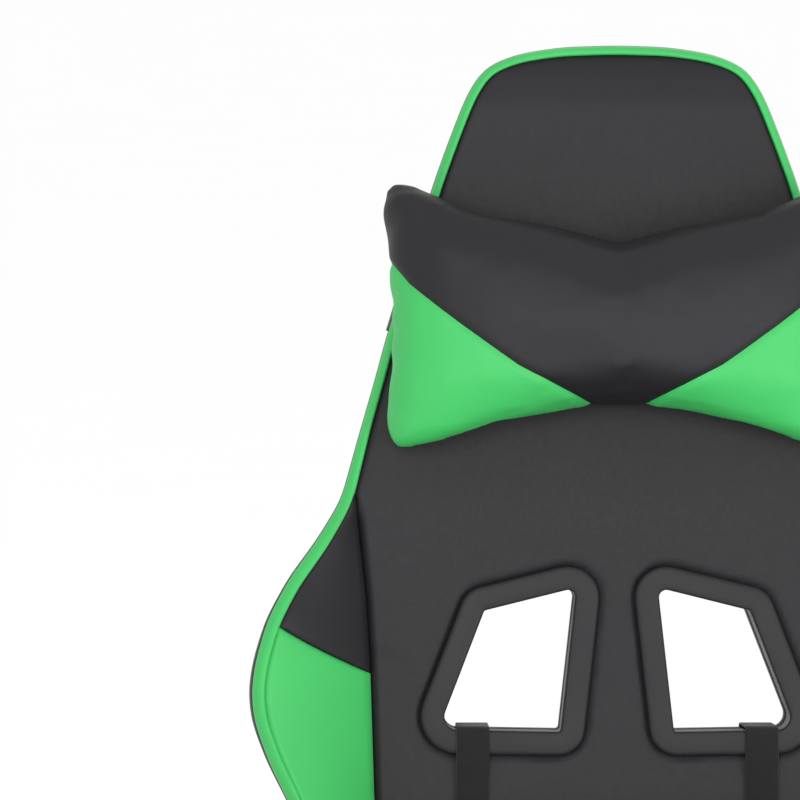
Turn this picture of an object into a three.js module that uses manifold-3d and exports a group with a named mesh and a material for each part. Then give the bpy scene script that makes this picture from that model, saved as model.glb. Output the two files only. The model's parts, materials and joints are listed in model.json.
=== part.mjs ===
// Gaming chair: five-star base on casters, gas lift, rocking seat plate, reclining wing back.
// Millimetres, +Z up, floor at z = 0, lift column on the Z axis. The chair faces -Y,
// so its left side (the sitter's left) is +X. Modelled at its lowest seat height.
import * as THREE from "three";
import { mergeVertices } from "three/addons/utils/BufferGeometryUtils.js";
import Module from "manifold-3d";

const wasm = await Module();
wasm.setup();

// ---------------------------------------------------------------- sizes
const GAP = 0.3;

// Gas lift
const OUTER_TUBE_RADIUS = 25;
const OUTER_TUBE_WALL = 1.5;
const OUTER_TUBE_BOTTOM = 42;
const OUTER_TUBE_TOP = 245;
const LIFT_ROD_RADIUS = 5;
const ROD_CLIP_Z = 39.7;
const ROD_CLIP_HEIGHT = 2;
const ROD_COLLAR_Z = 54.3;
const PISTON_Z = 260;
const INNER_TUBE_RADIUS = 14;
const INNER_TUBE_WALL = 1.5;
const INNER_TUBE_BOTTOM = 64;
const INNER_TUBE_TOP = 300;
const TAPER_START = 262;
const TAPER_TOP_RADIUS = INNER_TUBE_RADIUS - 0.6;
const VALVE_PIN_RADIUS = 4;
const VALVE_PIN_TOP = 303.6;
const COVER_STEP = 3.5;
const COVER_WALL = 2;
const COVER_LIP = 3;

// Casters and star base
const ARM_COUNT = 5;
const CASTER_RADIUS = 330;
const WHEEL_RADIUS = 30;
const WHEEL_SIDES = 16;
const WHEEL_OUTER_FACE = 24.5;
const CASTER_TRAIL = 18;
const CASTER_WEB_HALF = 6.5;
const CASTER_AXLE_RADIUS = 3;
const STEM_RADIUS = 5.5;
const STEM_TOP = 92;
const HUB_RADIUS = OUTER_TUBE_RADIUS + 17;
const HUB_TOP = 140;
const ARM_BOTTOM = 68;
const ARM_TOP_INNER = 130;
const ARM_TOP_OUTER = 100;
const ARM_HALF_WIDTH_INNER = 29;
const ARM_HALF_WIDTH_OUTER = 20;
const ARM_WALL = 4;
const ARM_RECESS_DEPTH = 15;
const ARM_RIB = 4;

// Tilt mechanism
const CHANNEL_HALF_WIDTH = 38;
const CHANNEL_WALL = 2.5;
const CHANNEL_FRONT = -118;
const CHANNEL_REAR = 45;
const CHANNEL_FLOOR = 268;
const CHANNEL_TOP = 306;
const TILT_AXLE_Y = -55;
const TILT_AXLE_Z = 296;
const TILT_AXLE_RADIUS = 5;
const TENSION_BOLT_Y = -95;
const KNOB_BOTTOM = 200;
const KNOB_RADIUS = 23;
const KNOB_TOP = 234;
const SPRING_RADIUS = 13;
const SPRING_WIRE_RADIUS = 2;
const BOLT_HEAD_RADIUS = 6.5;
const LEVER_PIVOT_X = -36.75;
const LEVER_PIVOT_Z = 308;
const LEVER_EAR_Y = 9.7;
const LEVER_EAR_THICKNESS = 2.5;
const LEVER_ROD_RADIUS = 4;
const TRUNNION_RADIUS = 3;
const PLATE_BOTTOM = 336;
const PLATE_THICKNESS = 3;
const PLATE_FRONT = -142;
const PLATE_REAR = 110;
const PLATE_HALF_WIDTH = 105;
const PLATE_EAR_X = 42;
const PLATE_BOLT_Y = [-125, 90];

// Seat
const SEAT_TOP = 450;
const SEAT_REAR = 172;
const RAIL_RADIUS = 9;
const RAIL_X = 188;
const RAIL_FRONT = -250;
const CROSS_BAR_Y = [-245, ...PLATE_BOLT_Y, 160];
const RAIL_Z = PLATE_BOTTOM + PLATE_THICKNESS + GAP + RAIL_RADIUS;
const SEAT_BOTTOM = RAIL_Z + RAIL_RADIUS + GAP;

// Recliner
const RECLINE_Y = 240;
const RECLINE_Z = 425;
const BACK_LEAN_DEG = 8;
const RECLINE_SHAFT_RADIUS = 6;
const BRACKET_INNER_X = 208;
const BRACKET_THICKNESS = 6;
const BRACKET_BOLT_Y = [122, 160];
const BRACKET_HEEL_Y = 108;
const COVER_HEEL_Y = 100;
const COVER_CROWN_RADIUS = 44;
const BACK_ARM_INNER_X = 198;
const BACK_ARM_THICKNESS = 6;
const SHAFT_LEFT_END = 232;
const SHAFT_SQUARE_RADIUS = RECLINE_SHAFT_RADIUS - 1.5;
const LEVER_INNER_X = 244.3;
const LEVER_OUTER_X = 253;

// Back, measured up the back from the recline shaft
const BACK_HEIGHT = 800;
const BACK_BOTTOM = BACK_HEIGHT * 0.015;
const BACK_REAR_W = 35;
const BACK_FRONT_W = -40;
const BACK_FRAME_RADIUS = 9;
const BACK_FRAME_U = 164;
const BACK_FRAME_W = 12;
const BEZEL_FACE = 18;
const BEZEL_WALL = 3;
const BEZEL_LIP = 4;

// Pillows and straps
const HEAD_PILLOW_HALF_WIDTH = 175;
const LUMBAR_PILLOW_HALF_WIDTH = 152;
const STRAP_THICKNESS = 1.8;
const LUMBAR_STRAP_U = 107;
const LUMBAR_STRAP_WIDTH = 25;

// Armrests
const ARMREST_X = 284;
const ARMREST_Y = -20;
const SLEEVE_HALF_X = 16;
const SLEEVE_HALF_Y = 25;
const SLEEVE_WALL = 3;
const SLEEVE_TOP = 520;
const PAD_TOP = 640;
const PAD_THICKNESS = 28;
const PAD_HALF_WIDTH = 45;
const PAD_FRONT = -125;
const PAD_REAR = 128;
const BUTTON_Z = 590;
const BUTTON_RADIUS = 9;
const FOOT_INNER_X = 120;
const FOOT_THICKNESS = 6;
const FOOT_BOLT_X = [140, 172];
const POST_BOTTOM = 404;

// ---------------------------------------------------------------- helpers
const deg = THREE.MathUtils.degToRad;

function signedVolume(positions, index) {
  let sum = 0;
  const a = new THREE.Vector3();
  const b = new THREE.Vector3();
  const c = new THREE.Vector3();
  for (let i = 0; i < index.length; i += 3) {
    a.fromArray(positions, 3 * index[i]);
    b.fromArray(positions, 3 * index[i + 1]);
    c.fromArray(positions, 3 * index[i + 2]);
    sum += a.dot(b.cross(c));
  }
  return sum / 6;
}

// A manifold solid from a closed three.js geometry, whichever way it is wound.
function solid(geometry) {
  const flat = geometry.index ? geometry.toNonIndexed() : geometry.clone();
  flat.deleteAttribute("normal");
  flat.deleteAttribute("uv");
  const merged = mergeVertices(flat, 1e-3);
  const positions = new Float32Array(merged.getAttribute("position").array);
  const index = [];
  for (let i = 0; i < merged.index.count; i += 3) {
    const a = merged.index.getX(i);
    const b = merged.index.getX(i + 1);
    const c = merged.index.getX(i + 2);
    if (a !== b && b !== c && a !== c) index.push(a, b, c);
  }
  if (signedVolume(positions, index) < 0) index.reverse();
  return new wasm.Manifold(
    new wasm.Mesh({ numProp: 3, vertProperties: positions, triVerts: new Uint32Array(index) }),
  );
}

function join(...bodies) {
  return wasm.Manifold.union(bodies.flat());
}

function cut(body, ...tools) {
  return body.subtract(wasm.Manifold.union(tools.flat()));
}

function geometryOf(body) {
  const mesh = body.getMesh();
  const geometry = new THREE.BufferGeometry();
  const positions = new Float32Array(mesh.vertProperties);
  geometry.setAttribute("position", new THREE.BufferAttribute(positions, 3));
  geometry.setIndex(new THREE.BufferAttribute(new Uint32Array(mesh.triVerts), 1));
  geometry.computeVertexNormals();
  return geometry;
}

function boxBetween([x0, y0, z0], [x1, y1, z1]) {
  const box = new THREE.BoxGeometry(x1 - x0, y1 - y0, z1 - z0);
  return solid(box.translate((x0 + x1) / 2, (y0 + y1) / 2, (z0 + z1) / 2));
}

// A round bar from one point to another.
function bar(from, to, radius, sides = 12) {
  const a = new THREE.Vector3(...from);
  const b = new THREE.Vector3(...to);
  const cylinder = new THREE.CylinderGeometry(radius, radius, a.distanceTo(b), sides);
  const turn = new THREE.Quaternion().setFromUnitVectors(
    new THREE.Vector3(0, 1, 0),
    b.clone().sub(a).normalize(),
  );
  cylinder.applyQuaternion(turn);
  const middle = a.add(b).multiplyScalar(0.5);
  return solid(cylinder.translate(middle.x, middle.y, middle.z));
}

// A tool for a round hole whose flats clear the given radius.
function drill(from, to, radius, sides = 12) {
  return bar(from, to, radius / Math.cos(Math.PI / sides), sides);
}

// A round bar bent at each point of a flat path, with mitred corners.
function bentBar(points, radius, sides = 12) {
  const path = points.map((p) => new THREE.Vector3(...p));
  const directions = path.slice(1).map((p, i) => p.clone().sub(path[i]).normalize());
  const normal = new THREE.Vector3();
  for (let i = 1; i < directions.length && normal.lengthSq() < 1e-6; i += 1) {
    normal.crossVectors(directions[i - 1], directions[i]);
  }
  normal.normalize();
  return loft(path.map((p, i) => {
    const before = directions[Math.max(i - 1, 0)];
    const after = directions[Math.min(i, directions.length - 1)];
    const along = before.clone().add(after).normalize();
    const across = new THREE.Vector3().crossVectors(normal, along).divideScalar(along.dot(after));
    const ring = [];
    for (let k = 0; k < sides; k += 1) {
      const a = (2 * Math.PI * (k + 0.5)) / sides;
      const q = p.clone().addScaledVector(across, radius * Math.cos(a));
      ring.push(q.addScaledVector(normal, radius * Math.sin(a)).toArray());
    }
    return ring;
  }));
}

// A turned shape from [radius, height] points, its axis along Z.
function turned(profile, sides = 20) {
  const points = profile.map(([r, z]) => new THREE.Vector2(r, z));
  return solid(new THREE.LatheGeometry(points, sides).rotateX(Math.PI / 2));
}

// The same with its profile closed on itself, for a ring or tube.
function turnedRing(profile, sides = 20) {
  return turned([...profile, profile[0]], sides);
}

function shapeOf(points) {
  return new THREE.Shape(points.map(([x, y]) => new THREE.Vector2(x, y)));
}

function extrude(shape, depth, curveSegments = 6) {
  return new THREE.ExtrudeGeometry(shape, { depth, bevelEnabled: false, curveSegments });
}

// A profile in (x, y) raised from z0 to z1.
function extrudeZ(shape, z0, z1, curveSegments) {
  return solid(extrude(shape, z1 - z0, curveSegments).translate(0, 0, z0));
}

// A profile in (y, z) carried along X from x0 to x1.
function extrudeX(shape, x0, x1, curveSegments) {
  const basis = new THREE.Matrix4().makeBasis(
    new THREE.Vector3(0, 1, 0),
    new THREE.Vector3(0, 0, 1),
    new THREE.Vector3(1, 0, 0),
  );
  return solid(extrude(shape, x1 - x0, curveSegments).applyMatrix4(basis).translate(x0, 0, 0));
}

// A profile in (x, z) carried along Y from y0 to y1.
function extrudeY(shape, y0, y1, curveSegments) {
  const geometry = extrude(shape, y1 - y0, curveSegments).rotateX(Math.PI / 2);
  return solid(geometry.translate(0, y1, 0));
}

function roundedRectangle(x0, y0, x1, y1, r) {
  const shape = new THREE.Shape();
  shape.moveTo(x0 + r, y0);
  shape.lineTo(x1 - r, y0);
  shape.quadraticCurveTo(x1, y0, x1, y0 + r);
  shape.lineTo(x1, y1 - r);
  shape.quadraticCurveTo(x1, y1, x1 - r, y1);
  shape.lineTo(x0 + r, y1);
  shape.quadraticCurveTo(x0, y1, x0, y1 - r);
  shape.lineTo(x0, y0 + r);
  shape.quadraticCurveTo(x0, y0, x0 + r, y0);
  return shape;
}

// Moves every side of a counter-clockwise polygon outward by d.
function offsetPolygon(points, d) {
  return points.map((p, i) => {
    const before = points[(i + points.length - 1) % points.length];
    const after = points[(i + 1) % points.length];
    const e0 = new THREE.Vector2(p[0] - before[0], p[1] - before[1]).normalize();
    const e1 = new THREE.Vector2(after[0] - p[0], after[1] - p[1]).normalize();
    const n0 = new THREE.Vector2(e0.y, -e0.x);
    const n1 = new THREE.Vector2(e1.y, -e1.x);
    const miter = d / (1 + n0.dot(n1));
    return [p[0] + (n0.x + n1.x) * miter, p[1] + (n0.y + n1.y) * miter];
  });
}

// A polygon with each corner rounded by its own radius, where 0 leaves it sharp.
function roundedPolygon(points, radii) {
  const shape = new THREE.Shape();
  points.forEach((p, i) => {
    const corner = new THREE.Vector2(...p);
    const before = new THREE.Vector2(...points[(i + points.length - 1) % points.length]);
    const after = new THREE.Vector2(...points[(i + 1) % points.length]);
    const entry = corner.clone().add(before.sub(corner).setLength(radii[i] + 1e-6));
    const exit = corner.clone().add(after.sub(corner).setLength(radii[i] + 1e-6));
    if (i === 0) shape.moveTo(entry.x, entry.y);
    else shape.lineTo(entry.x, entry.y);
    if (radii[i] > 0) shape.quadraticCurveTo(corner.x, corner.y, exit.x, exit.y);
  });
  shape.closePath();
  return shape;
}

// A closed skin over a stack of rings that all have the same number of points.
function loft(rings) {
  const count = rings[0].length;
  const last = rings.length - 1;
  const positions = rings.flat(2);
  const index = [];
  for (let r = 0; r < last; r += 1) {
    for (let i = 0; i < count; i += 1) {
      const a = r * count + i;
      const b = r * count + ((i + 1) % count);
      index.push(a, b, b + count, a, b + count, a + count);
    }
  }
  const cap = (ring, offset, first) => {
    const plane = flattened(ring);
    const turnedOver = THREE.ShapeUtils.isClockWise(plane) === first;
    for (const [a, b, c] of THREE.ShapeUtils.triangulateShape(plane, [])) {
      index.push(offset + a, offset + (turnedOver ? b : c), offset + (turnedOver ? c : b));
    }
  };
  cap(rings[0], 0, true);
  cap(rings[last], last * count, false);
  const geometry = new THREE.BufferGeometry();
  geometry.setAttribute("position", new THREE.BufferAttribute(new Float32Array(positions), 3));
  geometry.setIndex(index);
  return solid(geometry);
}

// A flat ring's points in the two axes it spreads over.
function flattened(ring) {
  const spread = [0, 1, 2].map((k) => {
    const values = ring.map((p) => p[k]);
    return Math.max(...values) - Math.min(...values);
  });
  const thin = spread.indexOf(Math.min(...spread));
  const axes = [0, 1, 2].filter((k) => k !== thin);
  return ring.map((p) => new THREE.Vector2(p[axes[0]], p[axes[1]]));
}

// Straight-line interpolation in a table of [key, value] rows, keys rising.
function lookup(table, key) {
  if (key <= table[0][0]) return table[0][1];
  for (let i = 1; i < table.length; i += 1) {
    const [k0, v0] = table[i - 1];
    const [k1, v1] = table[i];
    if (key <= k1) return v0 + ((v1 - v0) * (key - k0)) / (k1 - k0);
  }
  return table[table.length - 1][1];
}

// ---------------------------------------------------------------- materials
const material = (color, roughness, metalness = 0) =>
  new THREE.MeshStandardMaterial({ color, roughness, metalness });
const blackLeather = material(0x2b292c, 0.5);
const blackPlastic = material(0x1d1d1f, 0.55);
const satinPlastic = material(0x3a383b, 0.4);
const softPlastic = material(0x202022, 0.7);
const blackSteel = material(0x232325, 0.45, 0.4);
const chrome = material(0xb9bcc0, 0.2, 1);
const webbing = material(0x1b1a1c, 0.85);
const springSteel = material(0x8c9094, 0.35, 0.9);

const chair = new THREE.Group();
chair.name = "gaming_chair";

function part(name, body, finish, parent = chair) {
  const mesh = new THREE.Mesh(geometryOf(body), finish.clone());
  mesh.name = name;
  parent.add(mesh);
}

// ---------------------------------------------------------------- star base
// One arm along +X: a tapering beam, recessed underneath, with cross ribs in the recess.
function armPlan(inset) {
  const inner = ARM_HALF_WIDTH_INNER - inset;
  const outer = ARM_HALF_WIDTH_OUTER - inset;
  const shape = new THREE.Shape();
  shape.moveTo(0, -inner);
  shape.lineTo(CASTER_RADIUS, -outer);
  shape.absarc(CASTER_RADIUS, 0, outer, -Math.PI / 2, Math.PI / 2, false);
  shape.lineTo(0, inner);
  return shape;
}

function armSide() {
  return shapeOf([
    [0, ARM_BOTTOM],
    [CASTER_RADIUS + 30, ARM_BOTTOM],
    [CASTER_RADIUS + 30, ARM_TOP_OUTER - 6],
    [CASTER_RADIUS + 12, ARM_TOP_OUTER],
    [CASTER_RADIUS - 20, ARM_TOP_OUTER + 1],
    [CASTER_RADIUS * 0.7, ARM_TOP_OUTER + 8],
    [CASTER_RADIUS * 0.4, ARM_TOP_INNER - 11],
    [HUB_RADIUS, ARM_TOP_INNER],
    [0, ARM_TOP_INNER],
  ]);
}

function starArm() {
  const reach = ARM_HALF_WIDTH_INNER + 1;
  const roof = ARM_BOTTOM + ARM_RECESS_DEPTH;
  const plan = extrudeZ(armPlan(0), 0, ARM_TOP_INNER + 1);
  const outside = plan.intersect(extrudeY(armSide(), -reach, reach));
  const recess = extrudeZ(armPlan(ARM_WALL), 0, roof);
  const ribs = [0.33, 0.54, 0.76].map((share) => {
    const x = CASTER_RADIUS * share;
    return boxBetween([x - ARM_RIB / 2, -reach, 0], [x + ARM_RIB / 2, reach, roof]);
  });
  const hubEnd = boxBetween([-10, -reach, 0], [HUB_RADIUS - 4, reach, roof]);
  const socket = drill([CASTER_RADIUS, 0, 0], [CASTER_RADIUS, 0, roof], STEM_RADIUS * 2);
  return cut(outside, cut(recess, ribs, hubEnd, socket));
}

function starBase() {
  const hub = turned([
    [0, ARM_BOTTOM],
    [HUB_RADIUS - 2, ARM_BOTTOM],
    [HUB_RADIUS, ARM_BOTTOM + 2],
    [HUB_RADIUS, ARM_TOP_INNER],
    [HUB_RADIUS - 4, HUB_TOP - 2],
    [HUB_RADIUS - 7, HUB_TOP],
    [0, HUB_TOP],
  ], 24);
  const arm = starArm();
  const arms = [];
  const sockets = [];
  for (let i = 0; i < ARM_COUNT; i += 1) {
    const angle = casterAngle(i);
    const x = CASTER_RADIUS * Math.cos(deg(angle));
    const y = CASTER_RADIUS * Math.sin(deg(angle));
    arms.push(arm.rotate([0, 0, angle]));
    sockets.push(drill([x, y, ARM_BOTTOM - 8], [x, y, STEM_TOP + 1], STEM_RADIUS + GAP));
  }
  const bore = drill([0, 0, ARM_BOTTOM - 8], [0, 0, HUB_TOP + 8], OUTER_TUBE_RADIUS + GAP, 24);
  return cut(join(hub, arms), sockets, bore);
}

function casterAngle(i) {
  return -90 + (360 / ARM_COUNT) * i;
}

part("star_base", starBase(), blackPlastic);

// ---------------------------------------------------------------- casters
const wheelCentreZ = WHEEL_RADIUS * Math.cos(Math.PI / WHEEL_SIDES);
const HOOD_FRONT_ANGLE = 0.11;
const HOOD_REAR_ANGLE = Math.PI - 0.5;

// Twin wheels on their common axle, the axle along local Y and a flat of each tread downwards.
function casterWheels() {
  const half = [
    [CASTER_AXLE_RADIUS, CASTER_WEB_HALF + 0.5],
    [WHEEL_RADIUS - 3, CASTER_WEB_HALF + 0.5],
    [WHEEL_RADIUS, CASTER_WEB_HALF + 3.5],
    [WHEEL_RADIUS, WHEEL_OUTER_FACE - 3.5],
    [WHEEL_RADIUS - 4, WHEEL_OUTER_FACE],
    [WHEEL_RADIUS - 10, WHEEL_OUTER_FACE],
    [0, WHEEL_OUTER_FACE - 4.5],
  ];
  const mirrored = half.map(([r, y]) => [r, -y]).reverse();
  const wheels = turned([...mirrored, ...half], WHEEL_SIDES);
  return wheels.rotate([0, 0, 180 / WHEEL_SIDES]).rotate([90, 0, 0]);
}

// The web between the wheels, the hood over them and the upright stem, one moulding.
function casterFork() {
  const hoodInner = WHEEL_RADIUS + 3;
  const hoodOuter = hoodInner + 3.5;
  const web = new THREE.Shape();
  web.moveTo(WHEEL_RADIUS - 5, -6);
  web.absarc(0, 0, hoodInner + 1, 0, Math.PI, false);
  web.lineTo(5 - WHEEL_RADIUS, -6);
  web.quadraticCurveTo(0, -24, WHEEL_RADIUS - 5, -6);
  const hood = new THREE.Shape();
  hood.moveTo(hoodOuter, 4);
  hood.absarc(0, 0, hoodOuter, HOOD_FRONT_ANGLE, HOOD_REAR_ANGLE, false);
  hood.absarc(0, 0, hoodInner, HOOD_REAR_ANGLE, HOOD_FRONT_ANGLE, true);
  const x = CASTER_TRAIL;
  const z = wheelCentreZ;
  const w = CASTER_WEB_HALF;
  const plate = extrudeY(web, -w, w).translate([x, 0, z]);
  const cover = extrudeY(hood, -WHEEL_OUTER_FACE - 0.5, WHEEL_OUTER_FACE + 0.5).translate([x, 0, z]);
  const boss = bar([0, 0, z + 10], [0, 0, ARM_BOTTOM - 1], STEM_RADIUS + 4.5).intersect(
    boxBetween([-20, -w, 0], [20, w, ARM_BOTTOM]),
  );
  const collar = bar([0, 0, ARM_BOTTOM - 10], [0, 0, ARM_BOTTOM - GAP], STEM_RADIUS + 4);
  const stem = bar([0, 0, ARM_BOTTOM - 8], [0, 0, STEM_TOP], STEM_RADIUS);
  const axleHole = drill([x, -20, z], [x, 20, z], CASTER_AXLE_RADIUS + GAP, WHEEL_SIDES);
  const wheelRoom = [-1, 1].map((side) =>
    bar([x, side * (w + 0.1), z], [x, side * 26, z], WHEEL_RADIUS + 1.2, WHEEL_SIDES),
  );
  return cut(join(plate, cover, boss, collar, stem), axleHole, wheelRoom);
}

const wheelsBody = casterWheels().translate([CASTER_TRAIL, 0, wheelCentreZ]);
const forkBody = casterFork();
for (let i = 0; i < ARM_COUNT; i += 1) {
  const corner = new THREE.Group();
  corner.rotation.z = deg(casterAngle(i));
  corner.position.set(
    CASTER_RADIUS * Math.cos(deg(casterAngle(i))),
    CASTER_RADIUS * Math.sin(deg(casterAngle(i))),
    0,
  );
  chair.add(corner);
  part(`caster_${i + 1}_fork`, forkBody, blackPlastic, corner);
  part(`caster_${i + 1}_wheels`, wheelsBody, softPlastic, corner);
}

// ---------------------------------------------------------------- gas lift
function outerTube() {
  const inner = OUTER_TUBE_RADIUS - OUTER_TUBE_WALL;
  const hole = LIFT_ROD_RADIUS + 1.3;
  return turnedRing([
    [hole, OUTER_TUBE_BOTTOM],
    [OUTER_TUBE_RADIUS - 1, OUTER_TUBE_BOTTOM],
    [OUTER_TUBE_RADIUS, OUTER_TUBE_BOTTOM + 1],
    [OUTER_TUBE_RADIUS, OUTER_TUBE_TOP],
    [inner, OUTER_TUBE_TOP],
    [inner, OUTER_TUBE_BOTTOM + 4],
    [hole, OUTER_TUBE_BOTTOM + 4],
  ]);
}

function guideSleeve() {
  const bore = INNER_TUBE_RADIUS + GAP;
  const outer = OUTER_TUBE_RADIUS - OUTER_TUBE_WALL - GAP;
  return turnedRing([
    [bore, HUB_TOP + 10],
    [outer, HUB_TOP + 10],
    [outer, OUTER_TUBE_TOP + GAP],
    [OUTER_TUBE_RADIUS, OUTER_TUBE_TOP + GAP],
    [OUTER_TUBE_RADIUS, OUTER_TUBE_TOP + 3],
    [bore, OUTER_TUBE_TOP + 3],
  ]);
}

// The rod hangs on its collar over the bearing, and its piston stays up in the inner tube.
function liftRod() {
  const r = LIFT_ROD_RADIUS;
  const piston = INNER_TUBE_RADIUS - INNER_TUBE_WALL - 0.4;
  return turned([
    [0, ROD_CLIP_Z - 3.2],
    [r, ROD_CLIP_Z - 3.2],
    [r, ROD_CLIP_Z],
    [r - 1, ROD_CLIP_Z],
    [r - 1, ROD_CLIP_Z + ROD_CLIP_HEIGHT],
    [r, ROD_CLIP_Z + ROD_CLIP_HEIGHT],
    [r, ROD_COLLAR_Z],
    [r + 3, ROD_COLLAR_Z],
    [r + 3, ROD_COLLAR_Z + 3.7],
    [r, ROD_COLLAR_Z + 3.7],
    [r, PISTON_Z],
    [piston, PISTON_Z],
    [piston, PISTON_Z + 10],
    [0, PISTON_Z + 10],
  ], 16);
}

function thrustBearing() {
  return turnedRing([
    [LIFT_ROD_RADIUS + GAP, OUTER_TUBE_BOTTOM + 4 + GAP],
    [LIFT_ROD_RADIUS + 7, OUTER_TUBE_BOTTOM + 4 + GAP],
    [LIFT_ROD_RADIUS + 7, ROD_COLLAR_Z - GAP],
    [LIFT_ROD_RADIUS + GAP, ROD_COLLAR_Z - GAP],
  ]);
}

// A split washer snapped into the groove near the rod's lower end.
function retainingClip() {
  const bore = LIFT_ROD_RADIUS - 0.7;
  const bottom = ROD_CLIP_Z + 0.2;
  const top = ROD_CLIP_Z + ROD_CLIP_HEIGHT - 0.2;
  const ring = turnedRing([
    [bore, bottom],
    [LIFT_ROD_RADIUS * 2, bottom],
    [LIFT_ROD_RADIUS * 2, top],
    [bore, top],
  ]);
  return cut(ring, boxBetween([0, -3, bottom - 1], [LIFT_ROD_RADIUS * 4, 3, top + 1]));
}

function innerTube() {
  const bore = INNER_TUBE_RADIUS - INNER_TUBE_WALL;
  const rodBore = LIFT_ROD_RADIUS + GAP;
  const pinBore = VALVE_PIN_RADIUS + GAP;
  return turned([
    [0, INNER_TUBE_TOP - 25],
    [bore, INNER_TUBE_TOP - 25],
    [bore, INNER_TUBE_BOTTOM + 6],
    [rodBore, INNER_TUBE_BOTTOM + 6],
    [rodBore, INNER_TUBE_BOTTOM],
    [INNER_TUBE_RADIUS, INNER_TUBE_BOTTOM],
    [INNER_TUBE_RADIUS, TAPER_START],
    [TAPER_TOP_RADIUS, INNER_TUBE_TOP],
    [pinBore, INNER_TUBE_TOP],
    [pinBore, INNER_TUBE_TOP - 21],
    [0, INNER_TUBE_TOP - 21],
  ]);
}

function valvePin() {
  return turned([
    [0, INNER_TUBE_TOP - 16],
    [VALVE_PIN_RADIUS, INNER_TUBE_TOP - 16],
    [VALVE_PIN_RADIUS, VALVE_PIN_TOP - 1],
    [VALVE_PIN_RADIUS - 1, VALVE_PIN_TOP],
    [0, VALVE_PIN_TOP],
  ], 16);
}

function coverOuter(step) {
  return OUTER_TUBE_RADIUS + 4 + COVER_STEP * step;
}

// One tube of the telescopic cover, 0 the innermost. A stop lip turns out at its foot or in at its
// top, by an amount that leaves the next tube free to slide and turn.
function coverTube(step, bottom, top, footLip, topLipRadius) {
  const outer = coverOuter(step);
  const inner = outer - COVER_WALL;
  const profile = [
    [inner, bottom],
    [outer + footLip, bottom],
    [outer + footLip, bottom + COVER_LIP],
    [outer, bottom + COVER_LIP],
    [outer, top],
    [topLipRadius, top],
    [topLipRadius, top - COVER_LIP],
    [inner, top - COVER_LIP],
  ];
  return turnedRing(footLip > 0 ? profile : profile.filter((_, i) => i !== 2 && i !== 3));
}

part("gas_lift_outer_tube", outerTube(), blackSteel);
part("gas_lift_guide_sleeve", guideSleeve(), satinPlastic);
part("gas_lift_rod", liftRod(), chrome);
part("gas_lift_thrust_bearing", thrustBearing(), springSteel);
part("gas_lift_retaining_clip", retainingClip(), springSteel);
part("gas_lift_inner_tube", innerTube(), chrome);
part("gas_lift_valve_pin", valvePin(), springSteel);
part("cover_lower", coverTube(2, HUB_TOP + GAP, 206, 0, coverOuter(1) + GAP), blackPlastic);
part("cover_middle", coverTube(1, HUB_TOP + 6, 214, 1.2, coverOuter(0) + 2 * GAP), blackPlastic);
part("cover_upper", coverTube(0, HUB_TOP + 10, 262, 0.9, INNER_TUBE_RADIUS + GAP), blackPlastic);

// ---------------------------------------------------------------- tilt mechanism
// A pressed steel trough with the taper socket for the lift and ears for the height lever.
function tiltChannel() {
  const w = CHANNEL_HALF_WIDTH;
  const t = CHANNEL_WALL;
  const side = shapeOf([
    [CHANNEL_FRONT, CHANNEL_FLOOR],
    [CHANNEL_REAR, CHANNEL_FLOOR],
    [CHANNEL_REAR, CHANNEL_TOP - 14],
    [CHANNEL_REAR - 14, CHANNEL_TOP],
    [TILT_AXLE_Y - 18, CHANNEL_TOP],
    [CHANNEL_FRONT, CHANNEL_FLOOR + 12],
  ]);
  const outside = extrudeX(side, -w, w);
  const inside = boxBetween(
    [-w + t, CHANNEL_FRONT + t, CHANNEL_FLOOR + t],
    [w - t, CHANNEL_REAR - t, CHANNEL_TOP + 20],
  );
  const collar = bar([0, 0, CHANNEL_FLOOR + 1], [0, 0, CHANNEL_TOP - 9], INNER_TUBE_RADIUS + 5, 24);
  const ears = [LEVER_EAR_Y, -LEVER_EAR_Y - LEVER_EAR_THICKNESS].map((y0) => {
    const y1 = y0 + LEVER_EAR_THICKNESS;
    const round = bar([LEVER_PIVOT_X, y0, LEVER_PIVOT_Z], [LEVER_PIVOT_X, y1, LEVER_PIVOT_Z], 7.5);
    const root = boxBetween(
      [LEVER_PIVOT_X - 7.5, y0, LEVER_PIVOT_Z - 16],
      [-w + t + 5, y1, LEVER_PIVOT_Z],
    );
    return join(round, root);
  });
  const taper = turned([
    [0, CHANNEL_FLOOR - 5],
    [INNER_TUBE_RADIUS + GAP, CHANNEL_FLOOR - 5],
    [TAPER_TOP_RADIUS + GAP, INNER_TUBE_TOP],
    [0, INNER_TUBE_TOP],
  ]);
  const boltSlot = boxBetween(
    [-TILT_AXLE_RADIUS - 1, TENSION_BOLT_Y - 14, CHANNEL_FLOOR - 1],
    [TILT_AXLE_RADIUS + 1, TENSION_BOLT_Y + 6, CHANNEL_FLOOR + t + 1],
  );
  const leverNotch = boxBetween(
    [-w - 7, -LEVER_EAR_Y, LEVER_PIVOT_Z - 11],
    [-w + 8, LEVER_EAR_Y, LEVER_PIVOT_Z + 22],
  );
  const trunnionHoles = drill(
    [LEVER_PIVOT_X, -20, LEVER_PIVOT_Z],
    [LEVER_PIVOT_X, 20, LEVER_PIVOT_Z],
    TRUNNION_RADIUS + GAP,
  );
  const trough = join(cut(outside, inside), collar, ears);
  return cut(trough, taper, axleHoles(w + 12), boltSlot, leverNotch, trunnionHoles);
}

function axleHoles(reach) {
  return drill(
    [-reach, TILT_AXLE_Y, TILT_AXLE_Z],
    [reach, TILT_AXLE_Y, TILT_AXLE_Z],
    TILT_AXLE_RADIUS + GAP,
  );
}

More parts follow.
